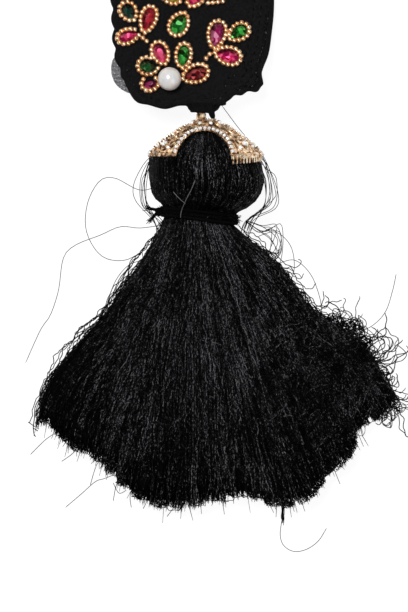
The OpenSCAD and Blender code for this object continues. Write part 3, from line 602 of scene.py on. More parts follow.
# Courses of the single strays: x, y, z
STRAYS = [
    [[-20, 12, 20], [-28.4, 10.1, 12], [-39.1, 15.3, 4], [-45.6, 14.4, 0.6], [-50.7, 5.8, 0.3],
     [-52.0, -4.9, 0.3], [-49.0, -13.5, 0.3], [-43.4, -19.1, 1], [-34.8, -20.0, 5], [-27, -16, 12]],
    [[-19, -5, 16], [-28.4, -6.2, 10], [-37, -5.6, 3], [-45.6, -9.2, 0.5], [-56.3, -13.5, 0.3],
     [-61.5, -19.1, 0.3], [-63.6, -32.9, 0.3], [-67.1, -43.6, 0.3], [-71.4, -50.1, 0.3],
     [-77.8, -64.3, 0.3]],
    [[6.9, 46.2, 20], [13.8, 36.8, 24], [20, 29.5, 26], [24.2, 24.4, 26], [26.5, 17, 24], [27.5, 8, 20]],
    [[-4.5, 14.5, 46.2], [-6.0, 10.5, 45.0], [-8.6, 5.5, 38.5], [-10.5, 1.0, 29], [-10.9, -2, 28.2]],
    [[-14, 9, 41.5], [-11.4, 6.2, 40], [-8.8, 4.0, 36.5]],
    [[-40, -112.6, 4], [-44, -114.2, 2], [-47.7, -115.5, 0.5], [-54, -121, 0.3], [-60.6, -126.6, 0.3]],
    [[-64, -94, 3], [-69.2, -97.4, 1], [-75.7, -103.8, 0.3]],
    [[-54, -98, 2], [-57.2, -103, 1], [-62.3, -106.8, 0.3]],
    [[-44, -104, 3], [-47.3, -108.6, 1], [-49.9, -117, 0.3]],
    [[-36, -112, 3], [-38.7, -117.2, 1], [-40, -123.8, 0.3]],
    [[-40, -116, 2], [-37.5, -120.4, 1], [-34.4, -119.2, 0.5]],
    [[-31, -116, 3], [-32.7, -121.5, 1], [-32.2, -126.7, 0.3]],
    [[-24, -118, 3], [-24.9, -122.4, 1], [-27.1, -127.2, 0.3]],
    [[-11, -120, 3], [-12.9, -125, 1], [-16.8, -130.6, 0.3]],
    [[33.1, -130, 3], [32.0, -138, 0.4], [33.5, -143, 0.3], [38, -145.6, 0.3], [43.5, -144.6, 0.3],
     [48.5, -141, 0.3], [52, -135.5, 0.3]],
    [[64, -52, 8], [72, -48, 3], [77.5, -42, 0.4], [80.5, -33, 0.3], [82, -26, 0.3]],
    [[-50, -72, 6], [-60, -74.5, 2], [-66, -78, 0.4], [-67, -86, 0.3], [-65, -92, 1]],
    [[-46, -58, 8], [-52, -64, 3], [-60, -70, 0.4], [-67, -71.5, 0.3]],
    [[-26, -20, 14], [-33, -22, 9], [-39, -29, 4], [-43, -40, 2], [-45, -48, 3]],
    [[22, -10, 14], [30, -8, 10], [36.5, -14, 5], [38, -24, 3], [35, -32, 6]],
    [[30, -22, 12], [38, -20, 8], [45, -26, 4], [49, -36, 2], [50, -44, 4]],
    [[46, -48, 9], [55, -46, 6], [62, -50, 3], [68, -49, 1], [74, -54, 0.5], [77, -62, 0.5]]]
stray_rng = np.random.default_rng(23)
# Strays beside the head: side, number, how much further out the furthest is, the foot nearest
# to the middle, and how far the feet spread
for side, count, bow, foot, spread in ((-1, 7, 9, -20, 3), (1, 10, 8, 15, 4)):
    for k in range(count):
        r = stray_rng.random(8)
        top = [side * (21 + 3 * r[0]), 22 + 5 * r[1], 22 + 4 * r[2]]
        out = side * (25.5 + bow * r[3] ** 1.6)
        foot_x = foot + spread * r[4]
        STRAYS.append([
            top, [(top[0] + out * 1.4) / 2.4 - 0.5 * side, 18 + 4 * r[5], 21], [out, 9 + 6 * r[6], 17],
            [out * 0.97, 2 + 4 * r[7], 15], [foot_x * 1.15, -1.5 - 2 * r[5], 14.5],
            [foot_x, -6 - 5 * r[1], 15]])
wisp, wisp_x = 16, 33.1          # hangs out under the ends
for k in range(wisp):
    r = stray_rng.random(4)
    STRAYS.append([
        [wisp_x + 3 * r[0] - 1.6, -120, 3], [wisp_x + 2 * r[1] - 1, -124, 2],
        [wisp_x + 1.4 * r[2] - 0.7, -129 - 2 * r[3], 0.6], [wisp_x + r[3] - 0.5, -130 - 4.5 * r[0], 0.4]])
by_neck = 9                      # curl out at the right of the neck
for k in range(by_neck):
    r = stray_rng.random(4)
    STRAYS.append([
        [17, -3, 15], [21 + 4 * r[0], -5 - 3 * r[1], 13], [27 + 6 * r[2], -4 - 9 * r[3], 8],
        [25 + 7 * r[1], -14 - 8 * r[0], 7], [21 + 5 * r[3], -20 - 5 * r[2], 13]])
lit = np.where(np.isin(np.arange(len(STRAYS)), OVER_HEAD), 1.7, 0.3)[:, None]
strays = threads("stray_threads", [smooth_course(s, 38) for s in STRAYS], 0.32 * MM, lit)
strays.data.materials.append(silk)
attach(strays, "root")


# Tie: three turns of twisted black cord wound round the silk's neck, knotted at the left,
# with two short frayed tails, and fluff that stands out from the turns.
def cord_form(path, radius, plies, pitch, across=None):
    """Place function for a twisted cord along path: its plies make lobes that turn. For a
    closed ring, across is the direction of its axis."""
    closed = across is not None
    run = np.gradient(path, axis=0)
    if closed:
        run[0] = run[-1] = path[1] - path[-2]
    run /= np.linalg.norm(run, axis=1, keepdims=True)
    if closed:
        side = np.cross(run, across)
    else:
        side = np.empty_like(run)
        last = np.cross(run[0], [0.1, 0.3, 1.0])
        for i, t in enumerate(run):
            last = last - t * (last @ t)
            last = last / np.linalg.norm(last)
            side[i] = last
    side /= np.linalg.norm(side, axis=1, keepdims=True)
    out = np.cross(side, run)
    far = far_along(path)
    turns = far / far[-1] * round(far[-1] / pitch) if closed else far / pitch
    steps = np.arange(len(path))

    def place(u, v):
        i = v * steps[-1]
        angle = 2 * np.pi * u
        lobe = np.abs(np.cos((angle - 2 * np.pi * np.interp(i, steps, turns)) * plies / 2))
        end = 1 if closed else np.sqrt(np.clip(np.minimum(v, 1 - v) * 30, 0, 1))
        r = (radius * (0.78 + 0.22 * lobe) * end)[:, None]
        middle, beside, above = [columns_at(i, steps, values) for values in (path, side, out)]
        return middle + r * (beside * np.cos(angle)[:, None] + above * np.sin(angle)[:, None])
    return place


def joined(name, pieces):
    """Several pieces joined into one."""
    bpy.ops.object.select_all(action="DESELECT")
    for piece in pieces:
        piece.select_set(True)
    bpy.context.view_layer.objects.active = pieces[0]
    bpy.ops.object.join()
    pieces[0].name = name
    return pieces[0]


def round_neck(angle, out, along):
    """Point at an angle round the neck, so far out from the silk and so far up from the tie."""
    x = -(neck_w + out) * np.cos(angle)
    z = neck_z + (neck_h + out) * np.sin(angle)
    return np.stack([neck_x + x, neck_y + neck_skew * x + along, z], axis=-1)


tie_d, neck_y = 1.7, -0.85
angles = np.linspace(0, 2 * np.pi, 241)
cords_of_tie = []
# Turns of the cord: how many diameters up from the middle of the tie, and where its waves start
for k, (off, wave) in enumerate(((-0.9, 0.3), (0.02, 1.7), (0.92, 4.0))):
    path = round_neck(angles, 1.0 + 0.06 * np.sin(3 * angles + wave),
                      off * tie_d + 0.12 * np.sin(2 * angles + wave))
    path[-1] = path[0]
    cords_of_tie.append(wrapped(f"tie_turn_{k}", 12, 300, cord_form(path, 0.86, 3, 3.2, across=(0, 1, 0))))
knot_at = np.array([neck_x - neck_w - 2.2, neck_y + 1.7, neck_z + 1])
a = np.linspace(0.2, 2 * np.pi + 0.5, 60)
trefoil = np.stack([np.sin(a) + 2 * np.sin(2 * a), 1.1 * (np.cos(a) - 2 * np.cos(2 * a)),
                    -1.6 * np.sin(3 * a)], axis=-1)
cords_of_tie.append(wrapped("knot", 14, 120, cord_form(knot_at + 0.42 * trefoil, 0.8, 3, 2.8)))
frayed_ends, fluff = 26, 520
fibres = []
for k, tail in enumerate(([-4.2, 1.2, -0.5], [-2.9, -3.0, -0.8])):
    path = smooth_course([knot_at, knot_at + np.multiply(tail, 0.5) + [0, 0.3, 0.3], knot_at + tail], 24)
    cords_of_tie.append(wrapped(f"tail_{k}", 14, 60, cord_form(path, 0.72, 3, 2.8)))
    direction = np.array(tail) / np.linalg.norm(tail)
    for i in range(frayed_ends):
        spread = stray_rng.normal(0, 0.32, 3)
        start = path[-5] + stray_rng.normal(0, 0.3, 3)
        fibres.append([start, start + direction * 1.2 + spread,
                       start + direction * (2 + stray_rng.random()) + 2 * spread])
for i in range(fluff):
    a, off = stray_rng.uniform(0, np.pi * 2), stray_rng.uniform(-1.5, 1.5)
    start = round_neck(a, 1.7, off)
    go = stray_rng.normal(0, 0.7, 3)
    go[0] -= 0.3 * np.cos(a)
    fibres.append([start, start + go * 0.5 + stray_rng.normal(0, 0.2, 3), start + go])
tie = joined("neck_tie_cord", cords_of_tie)
cloth_cord, tree, shader = material("tie_cord", (0.001, 0.001, 0.001), 0.85, Specular_IOR_Level=0.03)
fibre = noise(tree, object_coords(tree), 2600, 3)
coloured(tree, shader, fibre, [(0.35, (0.0005, 0.0005, 0.0006)), (0.75, (0.0035, 0.0035, 0.004))])
bumped(tree, shader, 0.7, 0.15, fibre)
tie.data.materials.append(cloth_cord)
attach(tie, "root")
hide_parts("neck_tie")
fibres = np.array([smooth_course(f, 5) for f in fibres])
fibres[..., 2] = np.maximum(fibres[..., 2], 0.3)
frayed = threads("tie_tail_fringe", fibres, 0.22 * MM, 0.25)
frayed.data.materials.append(silk)
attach(frayed, "root")


# Cap: a stamped brass dome with three arches, plated rose gold. Fine grains and wire are
# soldered on it, and each stone is held by four prongs that are bent over its edge.
def in_cap(points):
    """Points of the cap, in its own millimetres, as millimetres of the drawing."""
    flat = np.asarray(points, float).reshape(-1, 3)
    return np.array([cap_matrix @ Vector(p) for p in flat]).reshape(np.shape(points))


cap_y, cap_z, cap_lean = 24.7, 24.7, 5
cap_matrix = (Matrix.Translation((0, cap_y, cap_z)) @ Matrix.Rotation(np.radians(cap_lean), 4, "X")
              @ Matrix.Rotation(np.radians(-120), 4, Vector((1, 1, 1)))
              @ Matrix.Rotation(np.radians(cap_turn), 4, "Z"))
dome_h, dome_swell = 17.0, 0.85
arch_r, arch_drop, arch_stone_gap, arch_sweep, arch_stones = 11.9, 0.4, 0.7, 74.0, 19
cup_r, cup_h, collet_h, band_h = 0.9, 0.7, 0.5, 2.4
leg_span = 360 / arches - 2 * (np.degrees(np.arcsin(arch_r / cap_r)) + 2)
# Stones of a leg: angle from its middle, height, radius, how far out they sit. The front arch
# has a stone at each of its corners, which are on the first and the last leg.
LEG_STONES = [[0, 5.4, 1.4, 0], [-13, 4.1, 0.85, 0], [13, 4.1, 0.85, 0]]
CORNER_STONES = [[[25, 0.7, 1.2, 0.5]], [], [[-25, 0.7, 1.2, 0.5]]]


def dome_at(h):
    """Radius of the dome at a height."""
    return cap_r * np.cos(np.pi / 2 * (max(h, 0) / dome_h) ** dome_swell)


def on_dome(azimuth, h):
    """Point of the dome at an angle and a height, and the way that it faces there."""
    slope = (dome_at(h + 0.1) - dome_at(h - 0.1)) / (0.1 + min(h, 0.1))
    a = np.radians(azimuth)
    facing = np.array([np.cos(a), np.sin(a), -slope])
    return np.array([dome_at(h) * np.cos(a), dome_at(h) * np.sin(a), h]), facing / np.linalg.norm(facing)


def on_arch(turn, beyond=0.0):
    """Point beside the arch that faces +X, at an angle round it, and the way it faces."""
    a = np.radians(turn)
    r = arch_r + arch_stone_gap + beyond
    y, h = r * np.sin(a), r * np.cos(a) - arch_drop
    p = np.array([np.sqrt(dome_at(h) ** 2 - y * y), y, h])
    facing = on_dome(np.degrees(np.arctan2(p[1], p[0])), h)[1] + [1, 0, 0]
    return p, facing / np.linalg.norm(facing)


def turned(azimuth, p, facing):
    """A point and the way it faces, turned round the cap's axis."""
    turn = Matrix.Rotation(np.radians(azimuth), 3, "Z")
    return [np.array(turn @ Vector(v)) for v in (p, facing)]


def copies(name, unit, places):
    """Copies of a small modelled unit as one mesh. Each place is a point in the drawing, the
    way the copy's top faces, the way its side faces, and its size."""
    corners = np.array([v.co for v in unit.data.vertices])
    faces = [list(p.vertices) for p in unit.data.polygons]
    points, polygons = [], []
    for at, up, side, size in places:
        up = up / np.linalg.norm(up)
        side = side - up * (side @ up)
        side = side / np.linalg.norm(side)
        turn = np.stack([side, np.cross(up, side), up], axis=0)
        polygons += [[i + len(points) * len(corners) for i in f] for f in faces]
        points.append(at + (corners * size) @ turn)
    mesh = bpy.data.meshes.new(name)
    mesh.from_pydata(in_frame(np.concatenate(points)), [], polygons)
    mesh.update()
    mesh.shade_smooth()
    bpy.data.objects.remove(unit)
    piece = bpy.data.objects.new(name, mesh)
    bpy.context.scene.collection.objects.link(piece)
    return piece


def any_side(up):
    """Some direction across up."""
    return np.cross(up, [0.3, 0.5, 0.8])


bpy.ops.object.select_all(action="DESELECT")
bpy.ops.mesh.primitive_uv_sphere_add(segments=8, ring_count=5, radius=1)
grain_unit = bpy.context.object
grains = []


def add_grain(p, facing, azimuth, size):
    """A grain at a point of the cap that is turned round the cap's axis."""
    p, facing = turned(azimuth, p, facing)
    up = in_cap(p + facing) - in_cap(p)
    grains.append((in_cap(p + facing * size * 0.35), up, any_side(up), size))


stone_seats = []                 # point, facing, stone radius, seat height
for k in range(arches):
    for i in range(arch_stones):
        step = 2 * arch_sweep / (arch_stones - 1)
        turn = -arch_sweep + i * step
        stone_seats.append((*turned(k * 360 / arches, *on_arch(turn)), cup_r - 0.1, cup_h))
        if i < arch_stones - 1:
            add_grain(*on_arch(turn + step / 2, 0.95), k * 360 / arches, 0.3)
    for turn in np.linspace(-62, 62, 42):
        add_grain(*on_arch(turn, 1.75), k * 360 / arches, 0.26)
    leg = (k + 0.5) * 360 / arches
    for turn in np.linspace(-leg_span / 2, leg_span / 2, 30):
        add_grain(*on_dome(turn, band_h + 0.25), leg, 0.3)
    for azimuth, h, r, out in LEG_STONES + CORNER_STONES[k]:
        p, facing = turned(leg, *on_dome(azimuth, h))
        stone_seats.append((p, facing, r, out + collet_h))
        side = np.cross(facing, [0, 0, 1.0])
        side /= np.linalg.norm(side)
        up = np.cross(side, facing)
        count = int(2 * np.pi * (r + 0.5) / 0.6)
        for a in np.linspace(0, 2 * np.pi, count, endpoint=False):
            q = p + (side * np.cos(a) + up * np.sin(a)) * (r + 0.5) + facing * out
            add_grain(q, facing, 0, 0.24)
for a in np.linspace(0, 360, 26, endpoint=False):
    add_grain(np.array([4.2, 0, 15.5]), np.array([0.3, 0, 1.0]), a, 0.28)
cap_grains = copies("cap_grains", grain_unit, grains)

bpy.ops.object.select_all(action="DESELECT")
bpy.ops.mesh.primitive_cone_add(vertices=6, radius1=0.24, radius2=0.15, depth=1.0, location=(0, 0, 0.5))
prong_unit = bpy.context.object
bpy.ops.object.transform_apply(location=True)
bpy.ops.object.mode_set(mode="EDIT")
bpy.ops.mesh.select_all(action="DESELECT")
bpy.ops.object.mode_set(mode="OBJECT")
for face in prong_unit.data.polygons:
    face.select = face.normal.z > 0.9
bpy.ops.object.mode_set(mode="EDIT")
bpy.ops.mesh.extrude_region_move(TRANSFORM_OT_translate={"value": (-0.3, 0, 0.12)})
bpy.ops.transform.resize(value=(0.6, 0.6, 0.6))
bpy.ops.object.mode_set(mode="OBJECT")
prongs = []
for p, facing, r, seat in stone_seats:
    up = in_cap(p + facing) - in_cap(p)
    side = any_side(up)
    side /= np.linalg.norm(side)
    other = np.cross(up, side)
    for a in np.radians([45, 135, 225, 315]):
        out = side * np.cos(a) + other * np.sin(a)
        prongs.append((in_cap(p) + out * (r + 0.12) + up * (seat - 0.4), up, out, 0.55 + 0.25 * r))
cap_prongs = copies("cap_prongs", prong_unit, prongs)

# Scrolls of wire on each leg, a pair and a peak over it: angle from its middle, height
SCROLL = [
    [17, 3.1], [15, 6.3], [10, 8.6], [4, 8.8], [3.2, 7.6], [6.5, 7.0], [8.5, 5.4], [6.8, 3.7], [3.5, 3.1]]
PEAK = [[-4.5, 9.6], [-2.5, 11.2], [0, 12.8], [2.5, 11.2], [4.5, 9.6]]
wires = []
for k in range(arches):
    for i, wire in enumerate(([[-azimuth, h] for azimuth, h in SCROLL], SCROLL, PEAK)):
        course = []
        for azimuth, h in row_at(wire, np.linspace(0, len(wire) - 1, 40)):
            p, facing = turned((k + 0.5) * 360 / arches, *on_dome(azimuth, h))
            course.append(in_cap(p + facing * 0.15))
        wires.append(wrapped(f"scroll_{k}_{i}", 8, 80, cord_form(np.array(course), 0.34, 2, 1.1)))
cap_scrolls = joined("cap_scrolls", wires)

gold, tree, shader = material("rose_gold_plate", (0.86, 0.66, 0.46), 0.28, 0.75)
coords = object_coords(tree)
# Painted shade: patches of noise run from near-black brown, which stands for shade in crevices, to the gold's
# own light colour. The same noise sets the roughness. The colour is also made darker towards the left, at low
# X.
crevice_shade_noise = noise(tree, coords, 520, 3)
right = node(tree, "SeparateXYZ", {"Vector": coords}).outputs["X"]
darker = node(tree, "MapRange", {"Value": right, "From Min": 4 * MM, "From Max": 14 * MM,
                                 "To Min": -0.08, "To Max": 0.0}).outputs[0]
coloured(tree, shader, maths(tree, "ADD", crevice_shade_noise, darker), [
    (0.32, (0.09, 0.04, 0.015)), (0.44, (0.58, 0.36, 0.19)), (0.6, (0.95, 0.81, 0.62))])
rough = node(tree, "MapRange", {"Value": crevice_shade_noise, "To Min": 0.16, "To Max": 0.38}).outputs[0]
tree.links.new(rough, shader.inputs["Roughness"])
bumped(tree, shader, 0.35, 0.08, noise(tree, coords, 1500, 2))
for piece in (cap_grains, cap_prongs, cap_scrolls):
    piece.data.materials.append(gold)
    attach(piece, "root")
frame["nodes"]["cap"].material_slots[0].material = gold


# Stones: cut glass with a foil behind it, which shows its back facets as patches of light and dark, painted
# into the colour as reflections. The cap's are clear, and the panel's are coloured.
def foiled_glass(name, deep, clear, glint, facets, rim=0.35):
    """Cut glass. Its facets toward the rim, which lean over, are painted in shade: they keep only a share of
    their colour.
    """
    made, tree, shader = material(name, clear, 0.14, 0.3, Coat_Weight=0.25, Coat_Roughness=0.04,
                                  Specular_IOR_Level=0.2)
    cell = node(tree, "TexVoronoi", {"Vector": object_coords(tree), "Scale": facets}).outputs["Color"]
    lightness = node(tree, "SeparateColor", {"Color": cell}).outputs[0]
    plain = node(tree, "NewGeometry").outputs["Normal"]
    upright = node(tree, "SeparateXYZ", {"Vector": plain}).outputs["Z"]
    # Painted shade: the colour is darker where a facet leans away from the top.
    edge = node(tree, "MapRange", {"Value": upright, "From Min": 0.62, "From Max": 0.9,
                                   "To Min": rim}).outputs[0]
    patches = ramp(tree, lightness, [(0.1, deep), (0.55, clear), (0.95, glint)])
    shaded = node(tree, "VectorMath", {0: patches, "Scale": edge}, operation="SCALE").outputs[0]
    tree.links.new(shaded, shader.inputs["Base Color"])
    tilt = vector_maths(tree, "SUBTRACT", cell, (0.5, 0.5, 0.5))
    tilt = node(tree, "VectorMath", {0: tilt, "Scale": 0.55}, operation="SCALE").outputs[0]
    facing = vector_maths(tree, "NORMALIZE", vector_maths(tree, "ADD", plain, tilt))
    tree.links.new(facing, shader.inputs["Normal"])
    return made


# Slot: deepest colour, clear colour, glint, facets to the metre, and the rim's share of colour, which is
# painted shade
GLASS = {
    "crystal": [(0.7, 0.68, 0.66), (0.96, 0.95, 0.94), (1, 1, 1), 1100, 1],
    "teal_stone": [(0.0, 0.004, 0.003), (0.0, 0.028, 0.02), (0.01, 0.12, 0.075), 520],
    "red_stone": [(0.14, 0.0, 0.01), (0.38, 0.004, 0.018), (0.68, 0.06, 0.09), 520],
    "rose_stone": [(0.2, 0.0, 0.04), (0.48, 0.004, 0.08), (0.85, 0.13, 0.25), 520],
    "green_stone": [(0.0, 0.02, 0.0), (0.001, 0.13, 0.006), (0.06, 0.5, 0.08), 520],
    "deep_green_stone": [(0.0, 0.004, 0.0), (0.0, 0.016, 0.002), (0.008, 0.08, 0.014), 520],
    "olive_stone": [(0.02, 0.024, 0.0), (0.1, 0.1, 0.004), (0.3, 0.32, 0.03), 520],
    "magenta_stone": [(0.12, 0.0, 0.03), (0.27, 0.003, 0.085), (0.72, 0.26, 0.4), 520],
    "purple_stone": [(0.04, 0.0, 0.012), (0.13, 0.001, 0.035), (0.45, 0.05, 0.18), 520],
    "garnet_stone": [(0.03, 0.0, 0.001), (0.11, 0.001, 0.004), (0.4, 0.06, 0.06), 520]}
glass = {slot: foiled_glass(slot, *values) for slot, values in GLASS.items()}
for part in frame["record"]["subparts"]:
    if part["material_slot"] in glass:
        frame["nodes"][part["node"]].material_slots[0].material = glass[part["material_slot"]]


# Pearl: a round bead of 10 mm with a soft cream lustre, drilled through and sewn down
# among the coloured stones. Its colour drifts a little over its surface.
lustre, tree, shader = material("pearl_lustre", (0.6, 0.57, 0.54), 0.3, Coat_Weight=0.6, Coat_Roughness=0.12,
                                Subsurface_Weight=0.15, Subsurface_Scale=0.002)
coloured(tree, shader, noise(tree, object_coords(tree), 180, 2), [
    (0.3, (0.57, 0.52, 0.48)), (0.5, (0.62, 0.59, 0.56)), (0.7, (0.56, 0.57, 0.58))])
frame["nodes"]["pearl"].material_slots[0].material = lustre


# Panel: black felted cloth over a soft filling, folded in round its edge and sewn through,
# with scallops along the left, two rows of stitching along the right, and puckers where
# it is gathered to the neck. It bends up to the cap at its lower end.

# Outline of the panel without its scallops: x, y
PANEL_EDGE = [
    [10, 114.5], [24.5, 113.6], [27.8, 110.5], [29.2, 100], [29.3, 88], [28.4, 78.3],
    [27.0, 68.8], [24.2, 61.0], [24.5, 55.6], [22.8, 53.0], [18.6, 52.0], [12.4, 50.2],
    [9.0, 47.9], [6.8, 46.15], [-8.8, 46.15], [-12.0, 46.0], [-17.8, 44.7], [-24.5, 46.4],
    [-29.8, 47.8], [-33.6, 53.2], [-38.2, 64.5], [-39.8, 73], [-40.4, 84], [-40.7, 96],
    [-39.0, 110.5], [-36.5, 113.6], [-20, 114.5], [-6, 114.8]]
# Sections of the rolled edge from the underside up: height share, inset
PANEL_ROLL = [[0, 1.2], [0.16, 0.3], [0.4, 0], [0.68, 0.2], [0.88, 1.0], [1, 2.6]]
# Stones as bead_ring takes them: x, y, length, width, the way that the point faces, how pointed
STONES = [
    [-33.3, 86.6, 6.8, 5.6, -60, 0.5], [-24.9, 83.2, 9.9, 5.6, -106, 0.6], [-33.2, 76.0, 8.0, 5.0, 20, 0.7],
    [-11.6, 81.2, 8.8, 6.6, 60, 0.4], [-4.4, 93.4, 8.4, 6.2, -122, 0.4], [-15.0, 93.8, 7.6, 5.6, -40, 0.4],
    [4.6, 76.6, 10.2, 6.6, -102, 0.6], [14.1, 77.6, 7.6, 5.8, -145, 0.5], [9.4, 67.4, 9.4, 6.4, 165, 0.5],
    [-19.6, 68.4, 8.4, 5.6, -68, 0.5], [-9.7, 67.4, 8.8, 4.9, -96, 0.3], [-24.9, 62.8, 6.8, 6.0, -15, 0.3],
    [-23.9, 55.2, 5.6, 4.4, 12, 0.3], [-4.6, 59.4, 9.6, 6.4, -160, 0.5]]
panel_mid = np.array([-6.0, 80.0])
panel_far, neck_edge, panel_rise, bend, panel_t, panel_base = 115.0, 46.15, 18.0, 1.8, 6.0, 1.1
panel_rows, roll_from, roll_to = 68, 10, 20
scallop_d, scallop_pitch = 1.3, 8.6
pearl_at, pearl_r = np.array([-15.7, 57.6]), 5.0


def rise(y):
    """How far the panel has bent up at a place along it."""
    return panel_rise * (np.maximum(panel_far - y, 0) / (panel_far - neck_edge)) ** bend


def panel_edge(u):
    """Outline of the panel for the share of the way round it, scallops included."""
    n = len(PANEL_EDGE)
    p = row_at(PANEL_EDGE * 3, (np.asarray(u) - 0.5 / n) * n + n)
    scalloped = (p[..., 0] < -26) & (p[..., 1] > 58) & (p[..., 1] < 108)
    wave = scallop_d * (np.abs(np.cos(np.pi * (p[..., 1] - 58) / scallop_pitch)) - 0.6)
    ruffled = np.clip((p[..., 0] - 9) / 4, 0, 1) * np.clip((62 - p[..., 1]) / 4, 0, 1)
    ruffle = 0.5 * ruffled * np.sin(0.8 * p[..., 0] + 0.9 * p[..., 1])
    return p - np.stack([np.where(scalloped, wave, 0) - 0.3 * ruffle, 0.9 * ruffle], axis=-1)


def pear(l, w, pointed, n=120):
    """Outline of a pear-cut stone."""
    a = 2 * np.pi * (np.arange(n) + 0.5) / n
    return np.stack([l / 2 * np.cos(a), w / 2 * np.sin(a) * np.abs(np.sin(a / 2)) ** pointed], axis=-1)


def bead_ring(x, y, l, w, way, pointed):
    """Places of the seed beads sewn round a stone: evenly along a line outside its edge."""
    edge = pear(l, w, pointed)
    run = np.roll(edge, -1, axis=0) - np.roll(edge, 1, axis=0)
    normal = np.stack([run[:, 1], -run[:, 0]], axis=-1) / np.linalg.norm(run, axis=1)[:, None]
    line = edge + normal * bead_out
    line = np.concatenate([line, line[:1]])
    far = far_along(line)
    count = round(far[-1] / bead_pitch)
    p = columns_at(np.arange(count) / count * far[-1], far, line)
    turn = np.radians(way)
    return p @ np.array([[np.cos(turn), np.sin(turn)], [-np.sin(turn), np.cos(turn)]]) + [x, y]


bead_out, bead_pitch, bead_d, bead_l, bead_sunk = 1.02, 2.0, 2.4, 2.0, 0.12
# Stems and links of beads between the flowers: x, y
STEMS = [
    [-27.1, 75.0], [-25.5, 73.6], [-24.0, 72.2], [3.0, 69.6], [1.6, 68.0], [0.0, 66.2], [-1.2, 64.6],
    [-7.3, 88.4], [0.9, 90.3], [3.0, 90.5], [5.1, 90.7], [7.2, 91.1]]
bead_places = []                 # x, y, and the direction of the line that it is strung on


def add_bead(p, way, clear):
    """Keep a bead's place if the beads before it are further away than clear."""
    if all(np.linalg.norm(p - q) > clear for q, _ in bead_places):
        bead_places.append((p, way))


for stone in STONES:
    ring = bead_ring(*stone)
    lines = np.roll(ring, -1, axis=0) - np.roll(ring, 1, axis=0)
    for p, way in zip(ring, lines):
        inside = any(other is not stone and np.linalg.norm(p - other[:2]) < min(other[2:4]) / 2 + 0.6
                     for other in STONES)
        if not inside and np.linalg.norm(p - pearl_at) > pearl_r - 0.3:
            add_bead(p, way, 1.45)
for p in STEMS:
    add_bead(np.array(p), np.array([1.0, -1.0]), 1.4)
bead_xy = np.array([p for p, _ in bead_places])


def panel_place(u, v):
    """Point of the panel: v runs from the middle of its underside out over the edge and
    back to the middle of its top."""
    edge = panel_edge(u)
    away = edge - panel_mid
    reach = np.linalg.norm(away, axis=-1, keepdims=True)
    rows = v * panel_rows
    last = len(PANEL_ROLL) - 1
    roll = row_at(PANEL_ROLL, np.clip((rows - roll_from) / (roll_to - roll_from) * last, 0, last))
    scale = np.clip(np.minimum(rows / roll_from, (panel_rows - rows) / (panel_rows - roll_to)), 0, 1)[:, None]
    xy = panel_mid + (away - away / reach * roll[:, 1:2]) * scale
    z = rise(xy[:, 1]) + panel_base + roll[:, 0] * panel_t
    top = np.clip((rows - 16) / 4, 0, 1)
    near = np.full(len(xy), 9.0)
    for q in bead_xy:
        near = np.minimum(near, np.hypot(xy[:, 0] - q[0], xy[:, 1] - q[1]))
    dent = -0.28 * np.exp(-(near / 1.5) ** 2)
    x, y = xy[:, 0], xy[:, 1]
    lumps = 0.1 * np.sin(0.9 * x + 1.3 * np.sin(0.5 * y)) * np.sin(0.8 * y) + 0.07 * np.sin(2.1 * x - 1.7 * y)
    inward = np.clip(reach[:, 0] - reach[:, 0] * scale[:, 0], 0, 20)
    hem = -0.35 * np.exp(-((inward - 4.2) / 0.5) ** 2) - 0.28 * np.exp(-((inward - 7.6) / 0.5) ** 2)
    hem = hem * (x > 8)
    neck = np.hypot(x + 0.9, y - neck_edge)
    puckers = 0.35 * np.exp(-neck / 8) * np.sin(13 * np.arctan2(y - neck_edge + 2, x + 0.9))
    z = z + top * (dent + lumps + hem + puckers)
    return np.stack([x, y, z], axis=-1)


panel = wrapped("panel_cloth", 280, panel_rows, panel_place)

# The cloth's weave is a group, because the loop and the gathered fabric have it too.
weave = bpy.data.node_groups.new("black_cloth_weave", "ShaderNodeTree")
for name, kind, default in (("Coords", "NodeSocketVector", None), ("Threads", "NodeSocketFloat", 1900.0),
                            ("Dark", "NodeSocketColor", (0.0015, 0.0015, 0.0018, 1)),
                            ("Light", "NodeSocketColor", (0.009, 0.009, 0.010, 1))):
    socket = weave.interface.new_socket(name=name, in_out="INPUT", socket_type=kind)
    if default is not None:
        socket.default_value = default
for name, kind in (("Color", "NodeSocketColor"), ("Height", "NodeSocketFloat")):
    weave.interface.new_socket(name=name, in_out="OUTPUT", socket_type=kind)
given, result = weave.nodes.new("NodeGroupInput"), weave.nodes.new("NodeGroupOutput")
warp, weft = [
    node(weave, "TexWave", {"Vector": given.outputs["Coords"], "Scale": given.outputs["Threads"],
                            "Distortion": 2.5, "Detail": 2}, bands_direction=way).outputs["Fac"]
    for way in "XY"]
nap = noise(weave, given.outputs["Coords"], 900, 5)
height = maths(weave, "ADD", maths(weave, "MULTIPLY", warp, weft), nap)
weave.links.new(height, result.inputs["Height"])
shade = node(weave, "MapRange", {"Value": height, "From Min": 0.35, "From Max": 1.3}).outputs[0]
mixed = node(weave, "Mix", {"Factor": shade, "A": given.outputs["Dark"], "B": given.outputs["Light"]},
             data_type="RGBA")
weave.links.new(mixed.outputs["Result"], result.inputs["Color"])


def black_cloth(name, threads_to_metre, light):
    """Black woven cloth, given the colour of its lightest threads."""
    made, tree, shader = material(name, (0.005, 0.005, 0.005), 0.9, Specular_IOR_Level=0.04)
    woven = node(tree, "Group", {"Coords": object_coords(tree), "Threads": threads_to_metre,
                                 "Light": (*light, 1)}, node_tree=weave)
    tree.links.new(woven.outputs["Color"], shader.inputs["Base Color"])
    bumped(tree, shader, 0.6, 0.2, woven.outputs["Height"])
    return made


felt = black_cloth("black_felt", 700, (0.0125, 0.0125, 0.0135))
panel.data.materials.append(felt)
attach(panel, "root")
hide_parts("panel")


